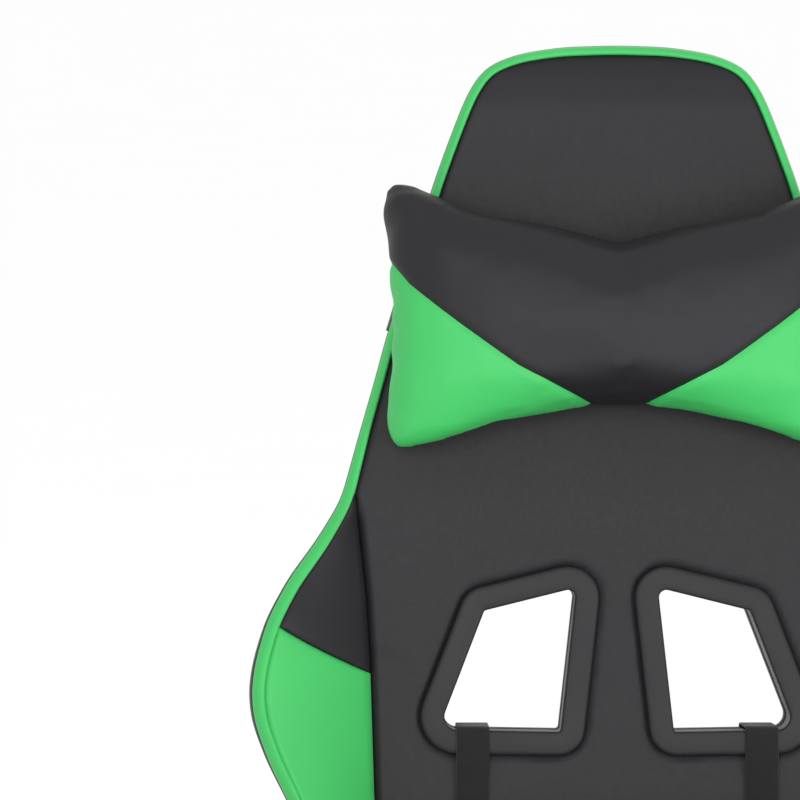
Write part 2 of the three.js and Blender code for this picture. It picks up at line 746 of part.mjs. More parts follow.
// The plate under the seat frame, with ears that hang on the tilt axle.
function tiltPlate() {
  const half = PLATE_HALF_WIDTH;
  const plate = extrudeZ(
    roundedRectangle(-half, PLATE_FRONT, half, PLATE_REAR, 14),
    PLATE_BOTTOM,
    PLATE_BOTTOM + PLATE_THICKNESS,
    4,
  );
  const earSide = shapeOf([
    [TILT_AXLE_Y - 40, PLATE_BOTTOM + 1],
    [TILT_AXLE_Y - 11, TILT_AXLE_Z - 4],
    [TILT_AXLE_Y - 6, TILT_AXLE_Z - 10],
    [TILT_AXLE_Y + 6, TILT_AXLE_Z - 10],
    [TILT_AXLE_Y + 11, TILT_AXLE_Z - 4],
    [TILT_AXLE_Y + 36, PLATE_BOTTOM + 1],
  ]);
  const thick = PLATE_THICKNESS;
  const ears = [-PLATE_EAR_X - thick, PLATE_EAR_X].map((x) => extrudeX(earSide, x, x + thick));
  const flanges = [-half, half - thick].map((x) =>
    boxBetween(
      [x, PLATE_FRONT + 18, PLATE_BOTTOM - 9],
      [x + thick, PLATE_REAR - 18, PLATE_BOTTOM + 1],
    ),
  );
  const bolts = [];
  for (const x of [20 - half, half - 20]) {
    for (const y of PLATE_BOLT_Y) {
      bolts.push(bar([x, y, PLATE_BOTTOM - 5], [x, y, PLATE_BOTTOM + 1], BOLT_HEAD_RADIUS, 6));
    }
  }
  const boltHole = drill(
    [0, TENSION_BOLT_Y, PLATE_BOTTOM - 6],
    [0, TENSION_BOLT_Y, PLATE_BOTTOM + 9],
    TILT_AXLE_RADIUS + GAP,
  );
  return cut(join(plate, ears, flanges, bolts), axleHoles(half), boltHole);
}

function tiltAxle() {
  const axle = (x0, x1, radius) =>
    bar([x0, TILT_AXLE_Y, TILT_AXLE_Z], [x1, TILT_AXLE_Y, TILT_AXLE_Z], radius);
  const head = PLATE_EAR_X + PLATE_THICKNESS + 0.4;
  return join(
    axle(-head - 1, head + 1, TILT_AXLE_RADIUS),
    axle(-head - 4.6, -head, TILT_AXLE_RADIUS + 4),
    axle(head, head + 4.6, TILT_AXLE_RADIUS + 4),
  );
}

class Helix extends THREE.Curve {
  constructor(radius, bottom, height, turns) {
    super();
    Object.assign(this, { radius, bottom, height, turns });
  }

  getPoint(t) {
    const angle = 2 * Math.PI * this.turns * t;
    return new THREE.Vector3(
      this.radius * Math.cos(angle),
      this.radius * Math.sin(angle),
      this.bottom + this.height * t,
    );
  }
}

function tensionSpring() {
  const wire = SPRING_WIRE_RADIUS;
  const bottom = KNOB_TOP + GAP + wire;
  const path = new Helix(SPRING_RADIUS, bottom, CHANNEL_FLOOR - GAP - wire - bottom, 3.5);
  const section = new THREE.Shape().absarc(0, 0, wire, 0, 2 * Math.PI, false);
  const coil = new THREE.ExtrudeGeometry(section, { steps: 42, extrudePath: path, curveSegments: 3 });
  return solid(coil).translate([0, TENSION_BOLT_Y, 0]);
}

// A finger-gripped knob on the long bolt that hangs from the seat plate.
function tensionKnob() {
  const r = KNOB_RADIUS;
  const plateTop = PLATE_BOTTOM + PLATE_THICKNESS + GAP;
  const grip = turned([
    [0, KNOB_BOTTOM],
    [r - 4, KNOB_BOTTOM],
    [r, KNOB_BOTTOM + 4],
    [r, KNOB_TOP - 10],
    [r - 6, KNOB_TOP - 6],
    [r - 6, KNOB_TOP],
    [0, KNOB_TOP],
  ], 24);
  const grooves = [];
  for (let i = 0; i < 8; i += 1) {
    const x = (r + 2) * Math.cos((i * Math.PI) / 4);
    const y = (r + 2) * Math.sin((i * Math.PI) / 4);
    grooves.push(bar([x, y, KNOB_BOTTOM - 5], [x, y, KNOB_TOP + 1], 5, 10));
  }
  const shank = bar([0, 0, KNOB_BOTTOM + 20], [0, 0, plateTop], TILT_AXLE_RADIUS);
  const head = bar([0, 0, plateTop], [0, 0, plateTop + 5.7], TILT_AXLE_RADIUS + 4, 6);
  return join(cut(grip, grooves), shank, head).translate([0, TENSION_BOLT_Y, 0]);
}

// The small barrel that pivots in the trough's ears and carries the height lever.
function leverBush() {
  const inside = LEVER_EAR_Y - GAP;
  const outside = LEVER_EAR_Y + LEVER_EAR_THICKNESS + 1;
  const barrel = turned([
    [0, -outside],
    [TRUNNION_RADIUS, -outside],
    [TRUNNION_RADIUS, -inside],
    [6.5, -inside],
    [6.5, inside],
    [TRUNNION_RADIUS, inside],
    [TRUNNION_RADIUS, outside],
    [0, outside],
  ], 12).rotate([90, 0, 0]);
  const bore = drill([-10, 0, 0], [10, 0, 0], LEVER_ROD_RADIUS + GAP);
  return cut(barrel, bore).translate([LEVER_PIVOT_X, 0, LEVER_PIVOT_Z]);
}

// The lever's bends as [x, drop], the drop running down and a little forward.
const LEVER_PATH = [
  [16, 0],
  [-60, 0],
  [-112, 24],
  [-272, 30],
].map(([x, drop]) => [x, -0.6 * drop, LEVER_PIVOT_Z - 0.8 * drop]);

function heightLeverRod() {
  return bentBar(LEVER_PATH, LEVER_ROD_RADIUS);
}

// A flat paddle on the end of the height lever.
function heightLeverGrip() {
  const blade = roundedRectangle(-34, -13, 42, 13, 11);
  const paddle = extrudeZ(blade, -LEVER_ROD_RADIUS, LEVER_ROD_RADIUS, 5);
  const neck = bar([-44, 0, 0], [0, 0, 0], LEVER_ROD_RADIUS + 3);
  const bore = drill([-60, 0, 0], [GAP, 0, 0], LEVER_ROD_RADIUS + GAP);
  const [elbow, tip] = LEVER_PATH.slice(-2).map((p) => new THREE.Vector3(...p));
  const run = tip.clone().sub(elbow);
  const yaw = THREE.MathUtils.radToDeg(Math.atan2(run.y, run.x));
  const pitch = THREE.MathUtils.radToDeg(Math.atan2(run.z, Math.hypot(run.x, run.y)));
  return cut(join(paddle, neck), bore).rotate([0, -pitch, yaw]).translate(tip.toArray());
}

part("tilt_channel", tiltChannel(), blackSteel);
part("tilt_plate", tiltPlate(), blackSteel);
part("tilt_axle", tiltAxle(), springSteel);
part("tension_spring", tensionSpring(), springSteel);
part("tension_knob", tensionKnob(), blackPlastic);
part("lever_bush", leverBush(), satinPlastic);
part("height_lever_rod", heightLeverRod(), blackSteel);
part("height_lever_grip", heightLeverGrip(), softPlastic);

// ---------------------------------------------------------------- seat
function seatFrame() {
  const z = RAIL_Z;
  const rails = [-RAIL_X, RAIL_X].map((x) =>
    bar([x, RAIL_FRONT, z], [x, SEAT_REAR + 3, z], RAIL_RADIUS),
  );
  const cross = CROSS_BAR_Y.map((y) => bar([-RAIL_X, y, z], [RAIL_X, y, z], RAIL_RADIUS));
  return join(rails, cross);
}

// Half width of the cushion and height of its side bolsters, front to rear.
const SEAT_HALF_WIDTH = [
  [-290, 196],
  [-284, 214],
  [-270, 230],
  [-230, 246],
  [-150, 256],
  [-60, 258],
  [30, 250],
  [80, 232],
  [104, 206],
  [172, 194],
];
const BOLSTER_TOP = [
  [-290, 428],
  [-270, 446],
  [-230, 464],
  [-150, 482],
  [-20, 486],
  [60, 476],
  [104, 458],
  [172, 448],
];
const SEAT_CENTRE_TOP = [
  [-290, 414],
  [-270, 436],
  [-230, 448],
  [-150, SEAT_TOP + 1],
  [104, SEAT_TOP],
  [172, SEAT_TOP - 2],
];

function seatSection(y) {
  const half = lookup(SEAT_HALF_WIDTH, y);
  const bolster = lookup(BOLSTER_TOP, y);
  const top = lookup(SEAT_CENTRE_TOP, y);
  const right = [
    [0, SEAT_BOTTOM],
    [half - 12, SEAT_BOTTOM],
    [half - 3, SEAT_BOTTOM + 4],
    [half, SEAT_BOTTOM + 14],
    [half, bolster - 34],
    [half - 6, bolster - 14],
    [half - 20, bolster],
    [half - 44, bolster - 3],
    [half - 72, top + (bolster - top) * 0.35],
    [half - 88, top],
    [0, top],
  ];
  const left = right.slice(1, -1).reverse().map(([x, z]) => [-x, z]);
  return [...right, ...left].map(([x, z]) => [x, y, z]);
}

function seatCushion() {
  const stations = [-290, -284, -270, -230, -150, -60, 30, 80, 104, 140, 164, 172];
  return loft(stations.map(seatSection));
}

part("seat_frame", seatFrame(), blackSteel);
part("seat_cushion", seatCushion(), blackLeather);

// ---------------------------------------------------------------- recliner
// The seat's side of each recliner: a boot-shaped plate standing on the rail.
function bracketPlate() {
  const sole = RAIL_Z - RAIL_RADIUS - 1.3;
  const boot = new THREE.Shape();
  boot.moveTo(BRACKET_HEEL_Y, sole);
  boot.lineTo(BRACKET_HEEL_Y + 70, sole);
  boot.lineTo(RECLINE_Y + 20, RECLINE_Z - 36);
  boot.quadraticCurveTo(RECLINE_Y + 32, RECLINE_Z - 20, RECLINE_Y + 30, RECLINE_Z);
  boot.absarc(RECLINE_Y, RECLINE_Z, 30, 0, Math.PI * 0.62, false);
  boot.lineTo(RECLINE_Y - 68, RECLINE_Z - 33);
  boot.lineTo(BRACKET_HEEL_Y, sole + 24);
  return boot;
}

function mirroredX(body, side) {
  return side < 0 ? body.mirror([1, 0, 0]) : body;
}

function shaftHole(x0, x1) {
  const radius = RECLINE_SHAFT_RADIUS + GAP;
  return drill([x0, RECLINE_Y, RECLINE_Z], [x1, RECLINE_Y, RECLINE_Z], radius);
}

function sideBracket(side) {
  const x0 = BRACKET_INNER_X;
  const x1 = BRACKET_INNER_X + BRACKET_THICKNESS;
  const plate = extrudeX(bracketPlate(), x0, x1);
  const rail = RAIL_X + RAIL_RADIUS + GAP;
  const spacers = BRACKET_BOLT_Y.map((y) => bar([rail, y, RAIL_Z], [x0 + 1, y, RAIL_Z], 6));
  const bolts = BRACKET_BOLT_Y.map((y) => bar([x1 - 1, y, RAIL_Z], [x1 + 3, y, RAIL_Z], 6, 6));
  const hole = shaftHole(x0 - 10, x1 + 10);
  return mirroredX(cut(join(plate, spacers, bolts), hole), side);
}

function coverOutline(d) {
  const sole = RAIL_Z - RAIL_RADIUS - 7.3 - d;
  const heel = COVER_HEEL_Y - d;
  const crown = COVER_CROWN_RADIUS + d;
  const shape = new THREE.Shape();
  shape.moveTo(heel, sole);
  shape.lineTo(RECLINE_Y - 56, sole);
  shape.quadraticCurveTo(RECLINE_Y + crown - 4, RECLINE_Z - 60, RECLINE_Y + crown, RECLINE_Z);
  shape.absarc(RECLINE_Y, RECLINE_Z, crown, 0, Math.PI * 0.6, false);
  shape.lineTo(RECLINE_Y - 80, RECLINE_Z - 21 + d);
  shape.lineTo(heel, RECLINE_Z - 53 + d);
  return shape;
}

// A hollow moulded cover, open on its inner side, over each bracket.
function reclinerCover(side) {
  const inner = BRACKET_INNER_X + BRACKET_THICKNESS + GAP;
  const shell = join(
    extrudeX(coverOutline(0), inner, inner + 16),
    extrudeX(coverOutline(-5), inner + 15, inner + 21),
  );
  const hollow = extrudeX(coverOutline(-7), inner - 1, inner + 14);
  const hole = shaftHole(inner - 10, inner + 40);
  return mirroredX(cut(shell, hollow, hole), side);
}

// Round from cover to cover, with a square end on the right for the lever.
function reclineShaft() {
  const shaft = (x0, x1, radius, sides) =>
    bar([x0, RECLINE_Y, RECLINE_Z], [x1, RECLINE_Y, RECLINE_Z], radius, sides);
  return join(
    shaft(GAP - LEVER_INNER_X, SHAFT_LEFT_END, RECLINE_SHAFT_RADIUS),
    shaft(-LEVER_OUTER_X, 4 - LEVER_INNER_X, SHAFT_SQUARE_RADIUS, 4),
  );
}

// The sitter pulls this up to free the back: a flat arm ending in a rounded grip.
function reclineLever() {
  const arm = new THREE.Shape();
  arm.moveTo(RECLINE_Y + 4, RECLINE_Z - 15);
  arm.absarc(RECLINE_Y, RECLINE_Z, 16, -1.4, 1.5, false);
  arm.lineTo(RECLINE_Y - 60, RECLINE_Z + 10);
  arm.lineTo(RECLINE_Y - 150, RECLINE_Z - 4);
  arm.quadraticCurveTo(RECLINE_Y - 162, RECLINE_Z - 14, RECLINE_Y - 150, RECLINE_Z - 22);
  arm.lineTo(RECLINE_Y - 60, RECLINE_Z - 10);
  const blade = extrudeX(arm, -LEVER_OUTER_X, -LEVER_INNER_X);
  const bore = drill(
    [-LEVER_OUTER_X - 5, RECLINE_Y, RECLINE_Z],
    [5 - LEVER_INNER_X, RECLINE_Y, RECLINE_Z],
    SHAFT_SQUARE_RADIUS + 0.4,
    4,
  );
  return cut(blade, bore);
}

part("side_bracket_left", sideBracket(1), blackSteel);
part("side_bracket_right", sideBracket(-1), blackSteel);
part("recliner_cover_left", reclinerCover(1), blackPlastic);
part("recliner_cover_right", reclinerCover(-1), blackPlastic);
part("recline_shaft", reclineShaft(), springSteel);
part("recline_lever", reclineLever(), softPlastic);

// ---------------------------------------------------------------- back
// Local axes of the back: u across (x), w through it (y, rear positive), v up it (z).
const back = new THREE.Group();
back.position.set(0, RECLINE_Y, RECLINE_Z);
back.rotation.x = -deg(BACK_LEAN_DEG);
chair.add(back);

// Heights below are drawn for a back 800 high, and up() fits them to the real one.
const DRAWN_HEIGHT = 800;

function up(v) {
  return (v * BACK_HEIGHT) / DRAWN_HEIGHT;
}

function fitted(table) {
  return table.map(([v, value]) => [up(v), value]);
}

const BACK_HALF_WIDTH = fitted([
  [12, 178],
  [22, 187],
  [100, 191],
  [140, 195],
  [170, 208],
  [200, 224],
  [240.5, 243.6],
  [270, 258],
  [300, 268.8],
  [322, 271],
  [344, 268],
  [374, 259.5],
  [404, 244],
  [433.5, 222.7],
  [463, 205],
  [508, 192.7],
  [552, 180],
  [582, 172],
  [645, 153],
  [700.6, 135.6],
  [730, 125],
  [760, 113],
  [775, 104.8],
  [786, 95],
  [795, 72],
  [800, 40],
]);
const WING_SEAM = fitted([
  [12, 158],
  [100, 165],
  [240, 180],
  [334, 183],
  [389, 186],
  [463, 194],
  [508, 180],
]);
const WING_RISE = fitted([
  [12, 8],
  [24, 18],
  [100, 40],
  [180, 52],
  [240, 55],
  [322, 55],
  [374, 45],
  [420, 24],
  [463, 5],
  [508, 0],
]);
const CENTRE_FRONT = fitted([
  [460, BACK_FRONT_W],
  [520, -36],
  [560, -32],
  [600, -29],
  [700, -28],
  [760, -25],
  [786, -18],
  [800, -6],
]);
const REAR_FACE = fitted([
  [700, BACK_REAR_W],
  [760, 32],
  [786, 26],
  [800, 12],
]);

// Cross-section of the back at height v, grown outward by d for whatever wraps round it.
function backSection(v, d = 0) {
  const half = lookup(BACK_HALF_WIDTH, v) + d;
  const front = lookup(CENTRE_FRONT, v) - d;
  const rear = lookup(REAR_FACE, v) + d;
  const rise = lookup(WING_RISE, v);
  const wing = front - rise;
  const seam = Math.min(lookup(WING_SEAM, v), half - 22);
  const edge = Math.min(15, (rear - front) * 0.35);
  const right = [
    [0, rear],
    [half - 20, rear],
    [half - 6, rear - edge / 3],
    [half, rear - edge],
    [half, Math.min(wing + 12, front + edge)],
    [half - 3, wing + edge / 5],
    [half - 10, wing],
    [half - 20, wing + rise * 0.16 + 1],
    [seam, front + 0.5],
    [seam - 8, front],
    [0, front],
  ];
  const left = right.slice(1, -1).reverse().map(([u, w]) => [-u, w]);
  return [...right, ...left].map(([u, w]) => [u, w, v]);
}

// Corners of the left-hand (negative u) cutout's clear opening, counter-clockwise.
const CUTOUT = [
  [-132.6, 292.5],
  [-42.1, 291],
  [-30.2, 397.8],
  [-98.5, 380.8],
].map(([u, v]) => [u, up(v)]);
const CUTOUT_ROUNDING = [9, 2, 5, 2];

function cutoutPrism(side, grow, w0, w1) {
  const radii = CUTOUT_ROUNDING.map((r) => r + grow);
  const outline = roundedPolygon(offsetPolygon(CUTOUT, grow), radii);
  const prism = extrudeY(outline, w0, w1, 2);
  return side > 0 ? prism.mirror([1, 0, 0]) : prism;
}

// Where the tube frame runs inside the foam, from the recliner up and over the head.
const FRAME_PATH = [
  [-BACK_FRAME_U, 40],
  [-BACK_FRAME_U, up(470)],
  [-118, up(660)],
  [-88, up(700)],
  [88, up(700)],
  [118, up(660)],
  [BACK_FRAME_U, up(470)],
  [BACK_FRAME_U, 40],
];
const FRAME_CROSS_V = [60, up(440)];

function backFrame() {
  const loop = bentBar(FRAME_PATH.map(([u, v]) => [u, BACK_FRAME_W, v]), BACK_FRAME_RADIUS);
  const cross = FRAME_CROSS_V.map((v) =>
    bar([-BACK_FRAME_U, BACK_FRAME_W, v], [BACK_FRAME_U, BACK_FRAME_W, v], BACK_FRAME_RADIUS),
  );
  return join(loop, cross);
}

// The slots in the foam that the frame is pushed into from the rear.
function frameGroove() {
  const crossPaths = FRAME_CROSS_V.map((v) => [-BACK_FRAME_U, BACK_FRAME_U].map((u) => [u, v]));
  const paths = [FRAME_PATH, ...crossPaths];
  const r = BACK_FRAME_RADIUS + GAP;
  const slots = [];
  for (const path of paths) {
    for (let i = 1; i < path.length; i += 1) {
      const [u0, v0] = path[i - 1];
      const [u1, v1] = path[i];
      const length = Math.hypot(u1 - u0, v1 - v0);
      const slot = boxBetween(
        [-r, BACK_FRAME_W - r, -length / 2 - r],
        [r, BACK_REAR_W + 5, length / 2 + r],
      );
      const turn = THREE.MathUtils.radToDeg(Math.atan2(u1 - u0, v1 - v0));
      slots.push(slot.rotate([0, turn, 0]).translate([(u0 + u1) / 2, 0, (v0 + v1) / 2]));
    }
  }
  return slots;
}

const BACK_BOLT_V = [62, 108];
const BACK_BOLT_RADIUS = 5;

function backCushion() {
  const stations = [
    12, 22, 100, 140, 170, 200, 240.5, 270, 300, 322, 344, 374, 404, 433.5, 463, 508,
    552, 600, 645, 700.6, 730, 760, 775, 786, 795, 800,
  ].map(up);
  const foam = loft(stations.map((v) => backSection(v)));
  const openings = [-1, 1].map((side) => cutoutPrism(side, BEZEL_WALL + GAP, -200, 200));
  const bolts = BACK_BOLT_V.map((v) =>
    drill([-230, BACK_FRAME_W, v], [230, BACK_FRAME_W, v], BACK_BOLT_RADIUS + GAP),
  );
  return cut(foam, openings, bolts, frameGroove());
}

// A moulded ring round each cutout, half of it entered from the front and half from the rear.
function cutoutBezel(side, front) {
  const face = front ? BACK_FRONT_W : BACK_REAR_W;
  const outward = front ? -1 : 1;
  const seat = face + outward * GAP;
  const lip = seat + outward * BEZEL_LIP;
  const middle = front ? -GAP / 2 : GAP / 2;
  const span = (a, b) => [Math.min(a, b), Math.max(a, b)];
  const flange = cutoutPrism(side, BEZEL_FACE, ...span(seat, lip - outward * 1.5));
  const crown = cutoutPrism(side, BEZEL_FACE - 3, ...span(seat, lip));
  const sleeve = cutoutPrism(side, BEZEL_WALL, ...span(middle, seat));
  return cut(join(flange, crown, sleeve), cutoutPrism(side, 0, -100, 100));
}

// A steel arm on each side of the back, from the recliner up to two bolts in the frame.
function backArm(side) {
  const x0 = BACK_ARM_INNER_X;
  const arm = new THREE.Shape();
  arm.absarc(0, 0, 28, Math.PI * 1.05, Math.PI * 1.95, false);
  arm.lineTo(30, 60);
  arm.quadraticCurveTo(30, 128, 14, 130);
  arm.quadraticCurveTo(-4, 128, -6, 60);
  const plate = extrudeX(arm, x0, x0 + BACK_ARM_THICKNESS);
  const bolt = (v, u0, u1, radius, sides) =>
    bar([u0, BACK_FRAME_W, v], [u1, BACK_FRAME_W, v], radius, sides);
  const frame = BACK_FRAME_U + BACK_FRAME_RADIUS + GAP;
  const shanks = BACK_BOLT_V.map((v) => bolt(v, frame, x0 + 1, BACK_BOLT_RADIUS));
  const heads = BACK_BOLT_V.map((v) => bolt(v, x0 + 5, x0 + 9, BACK_BOLT_RADIUS + 2, 6));
  const hole = drill([x0 - 10, 0, 0], [x0 + 30, 0, 0], RECLINE_SHAFT_RADIUS + GAP);
  return mirroredX(cut(join(plate, shanks, heads), hole), side);
}

part("back_frame", backFrame(), blackSteel, back);
part("back_cushion", backCushion(), blackLeather, back);
part("back_arm_left", backArm(1), blackSteel, back);
part("back_arm_right", backArm(-1), blackSteel, back);
part("cutout_bezel_front_left", cutoutBezel(1, true), satinPlastic, back);
part("cutout_bezel_front_right", cutoutBezel(-1, true), satinPlastic, back);
part("cutout_bezel_rear_left", cutoutBezel(1, false), satinPlastic, back);
part("cutout_bezel_rear_right", cutoutBezel(-1, false), satinPlastic, back);

// ---------------------------------------------------------------- pillows
// Stations across a pillow: [share of half width, bottom v, top v, thickness].
const HEAD_STATIONS = [
  [-1, 528, 664, 24],
  [-0.97, 513, 682, 40],
  [-0.88, 508, 694, 58],
  [-0.6, 516, 682, 76],
  [-0.3, 528, 668, 82],
  [0, 534, 660, 84],
];
const LUMBAR_STATIONS = [
  [-1, 66, 208, 22],
  [-0.97, 52, 222, 38],
  [-0.88, 44, 230, 54],
  [-0.6, 48, 228, 70],
  [-0.3, 54, 224, 76],
  [0, 56, 222, 78],
];

// A pillow's section as [share of half its height, share of its thickness], its flat side on 0.
const PILLOW_OUTLINE = [
  [-0.72, 0],
  [-0.96, 0.2],
  [-1, 0.45],
  [-0.9, 0.75],
  [-0.55, 0.96],
  [0, 1],
  [0.55, 0.96],
  [0.9, 0.75],
  [1, 0.45],
  [0.96, 0.2],
  [0.72, 0],
];
const PILLOW_FULL_THICKNESS = 84;
const PILLOW_END_LIFT = 0.14;

// A stuffed pillow standing on the plane w = rearW, fullest in the middle, its ends lifted off it.
function pillow(halfWidth, rearW, stations) {
  const mirrored = stations.slice(0, -1).reverse().map(([share, ...rest]) => [-share, ...rest]);
  return loft([...stations, ...mirrored].map(([share, bottom, top, thick]) => {
    const middle = up(bottom + top) / 2;
    const reach = up(top - bottom) / 2;
    const rear = rearW - (PILLOW_FULL_THICKNESS - thick) * PILLOW_END_LIFT;
    return PILLOW_OUTLINE.map(([v, w]) => [share * halfWidth, rear - w * thick, middle + v * reach]);
  }));
}

// A thin band round the back's outline, from one front end round the rear to the other.
function headStrap() {
  const heights = [578, 588, 600, 610, 618].map(up);
  return loft(heights.map((v) => {
    const ends = (section) => {
      const ring = section.slice(0, -1);
      const right = ring.slice(0, 9);
      const left = ring.slice(12).concat([section[section.length - 1]]);
      return [...left, ...right];
    };
    const inner = ends(backSection(v, 0.5));
    const outer = ends(backSection(v, 0.5 + STRAP_THICKNESS));
    return [...inner, ...outer.reverse()];
  }));
}

// A closed loop of webbing through the cutout, down the rear and under the back.
function lumbarStrap(side) {
  const t = STRAP_THICKNESS;
  const frontLip = BACK_FRONT_W - GAP - BEZEL_LIP - 0.5;
  const rearLip = BACK_REAR_W + GAP + BEZEL_LIP + 0.5;
  const sill = CUTOUT[0][1] + 1.1;
  const rim = sill - BEZEL_FACE - 3.6;
  const inner = [
    [rearLip, sill],
    [frontLip, sill],
    [frontLip, rim],
    [BACK_FRONT_W - 0.6, rim - 16],
    [BACK_FRONT_W - 0.6, BACK_BOTTOM - 0.6],
    [BACK_REAR_W + 0.6, BACK_BOTTOM - 0.6],
    [BACK_REAR_W + 0.6, rim - 16],
    [rearLip, rim],
  ];
  const loop = shapeOf(offsetPolygon(inner, t));
  loop.holes.push(new THREE.Path(inner.map(([w, v]) => new THREE.Vector2(w, v))));
  const x = side * LUMBAR_STRAP_U;
  return extrudeX(loop, x - LUMBAR_STRAP_WIDTH / 2, x + LUMBAR_STRAP_WIDTH / 2);
}

const headPillow = pillow(HEAD_PILLOW_HALF_WIDTH, BACK_FRONT_W + 6, HEAD_STATIONS);
const lumbarPillow = pillow(LUMBAR_PILLOW_HALF_WIDTH, BACK_FRONT_W - 3.4, LUMBAR_STATIONS);
part("head_pillow", headPillow, blackLeather, back);
part("head_pillow_strap", headStrap(), webbing, back);
part("lumbar_pillow", lumbarPillow, blackLeather, back);
part("lumbar_strap_left", lumbarStrap(1), webbing, back);
part("lumbar_strap_right", lumbarStrap(-1), webbing, back);

// ---------------------------------------------------------------- armrests
// A foot bolted under the seat rail, rising into the sleeve that guides the post.
function armrestBracket(side) {
  const footTop = RAIL_Z - RAIL_RADIUS - GAP;
  const footBottom = footTop - FOOT_THICKNESS;
  const x1 = ARMREST_X + SLEEVE_HALF_X;
  const foot = boxBetween(
    [FOOT_INNER_X, ARMREST_Y - 30, footBottom],
    [x1, ARMREST_Y + 30, footTop],
  );
  const bend = boxBetween(
    [ARMREST_X - SLEEVE_HALF_X, ARMREST_Y - SLEEVE_HALF_Y, footBottom],
    [x1, ARMREST_Y + SLEEVE_HALF_Y, footTop + 12],
  );
  const sleeve = extrudeZ(sleevePlan(0), footTop, SLEEVE_TOP, 3);
  const bore = extrudeZ(sleevePlan(SLEEVE_WALL), footTop + 10, SLEEVE_TOP + 10, 3);
  const bolts = FOOT_BOLT_X.map((x) =>
    bar([x, ARMREST_Y, footBottom - 4], [x, ARMREST_Y, footBottom + 1], BOLT_HEAD_RADIUS, 6),
  );
  return mirroredX(cut(join(foot, bend, sleeve, bolts), bore), side);
}

function sleevePlan(inset) {
  const x = SLEEVE_HALF_X - inset;
  const y = SLEEVE_HALF_Y - inset;
  return roundedRectangle(ARMREST_X - x, ARMREST_Y - y, ARMREST_X + x, ARMREST_Y + y, 9 - inset);
}

// The button sits in a hole high on the post's outer face.
function armrestPost(side) {
  const postTop = PAD_TOP - PAD_THICKNESS - GAP;
  const post = extrudeZ(sleevePlan(SLEEVE_WALL + GAP), POST_BOTTOM, postTop - 4, 3);
  const seat = boxBetween(
    [ARMREST_X - 26, ARMREST_Y - 60, postTop - 5],
    [ARMREST_X + 26, ARMREST_Y + 60, postTop],
  );
  const x1 = ARMREST_X + SLEEVE_HALF_X;
  const hole = drill(
    [x1 - 14, ARMREST_Y, BUTTON_Z],
    [x1 + 5, ARMREST_Y, BUTTON_Z],
    BUTTON_RADIUS + GAP,
  );
  return mirroredX(cut(join(post, seat), hole), side);
}

function armrestButton(side) {
  const x1 = ARMREST_X + SLEEVE_HALF_X - SLEEVE_WALL - GAP;
  const from = [x1 - 6, ARMREST_Y, BUTTON_Z];
  const to = [x1 + 3.5, ARMREST_Y, BUTTON_Z];
  return mirroredX(bar(from, to, BUTTON_RADIUS), side);
}

// A soft-topped pad with rounded ends.
function armrestPad(side) {
  const z0 = PAD_TOP - PAD_THICKNESS;
  const layer = (inset) => {
    const shape = roundedRectangle(
      ARMREST_X - PAD_HALF_WIDTH + inset,
      PAD_FRONT + inset,
      ARMREST_X + PAD_HALF_WIDTH - inset,
      PAD_REAR - inset,
      34 - inset,
    );
    return shape.getPoints(5).slice(0, -1);
  };
  const rings = [
    [4, z0],
    [0, z0 + 5],
    [0, z0 + 18],
    [3, z0 + 25],
    [10, PAD_TOP],
  ].map(([inset, z]) => layer(inset).map((p) => [p.x, p.y, z]));
  return mirroredX(loft(rings), side);
}

for (const [name, side] of [["left", 1], ["right", -1]]) {
  part(`armrest_bracket_${name}`, armrestBracket(side), blackSteel);
  part(`armrest_post_${name}`, armrestPost(side), blackPlastic);
  part(`armrest_pad_${name}`, armrestPad(side), softPlastic);
  part(`armrest_button_${name}`, armrestButton(side), satinPlastic);
}

export default chair;
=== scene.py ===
"""Looks of the gaming chair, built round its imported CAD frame. Lengths are in millimetres until the
last step of each piece, which makes them metres."""
import bpy
import bmesh
import json
import math
from contextlib import contextmanager
import numpy as np
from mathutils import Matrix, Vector, noise

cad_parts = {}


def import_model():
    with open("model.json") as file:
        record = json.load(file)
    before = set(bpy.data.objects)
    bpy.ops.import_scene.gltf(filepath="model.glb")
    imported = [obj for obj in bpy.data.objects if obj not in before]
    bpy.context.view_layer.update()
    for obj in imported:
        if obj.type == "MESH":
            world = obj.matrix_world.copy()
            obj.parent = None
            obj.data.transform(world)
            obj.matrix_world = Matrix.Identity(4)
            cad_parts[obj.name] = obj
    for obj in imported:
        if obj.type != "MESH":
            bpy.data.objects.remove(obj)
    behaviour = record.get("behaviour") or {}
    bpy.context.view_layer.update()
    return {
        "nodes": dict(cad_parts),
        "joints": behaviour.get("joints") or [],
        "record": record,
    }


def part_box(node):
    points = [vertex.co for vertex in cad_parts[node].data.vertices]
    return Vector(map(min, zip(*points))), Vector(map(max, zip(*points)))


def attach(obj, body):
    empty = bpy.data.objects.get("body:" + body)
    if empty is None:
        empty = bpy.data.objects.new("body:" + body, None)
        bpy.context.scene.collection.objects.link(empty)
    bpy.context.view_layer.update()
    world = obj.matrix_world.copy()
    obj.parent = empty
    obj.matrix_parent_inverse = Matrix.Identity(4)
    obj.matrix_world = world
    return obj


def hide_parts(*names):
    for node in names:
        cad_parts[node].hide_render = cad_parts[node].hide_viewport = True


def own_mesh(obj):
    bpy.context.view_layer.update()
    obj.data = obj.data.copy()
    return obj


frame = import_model()
MM = 0.001

# ------------ the back's own axes
def joint(name):
    """The position in mm and the axis of one of the frame's joints."""
    found = next(j for j in frame["joints"] if j["name"] == name)
    return np.array(found["pos_m"], float) * 1000, np.array(found["axis"], float)


LEAN = math.radians(8)
PIVOT, _ = joint("back_recline")


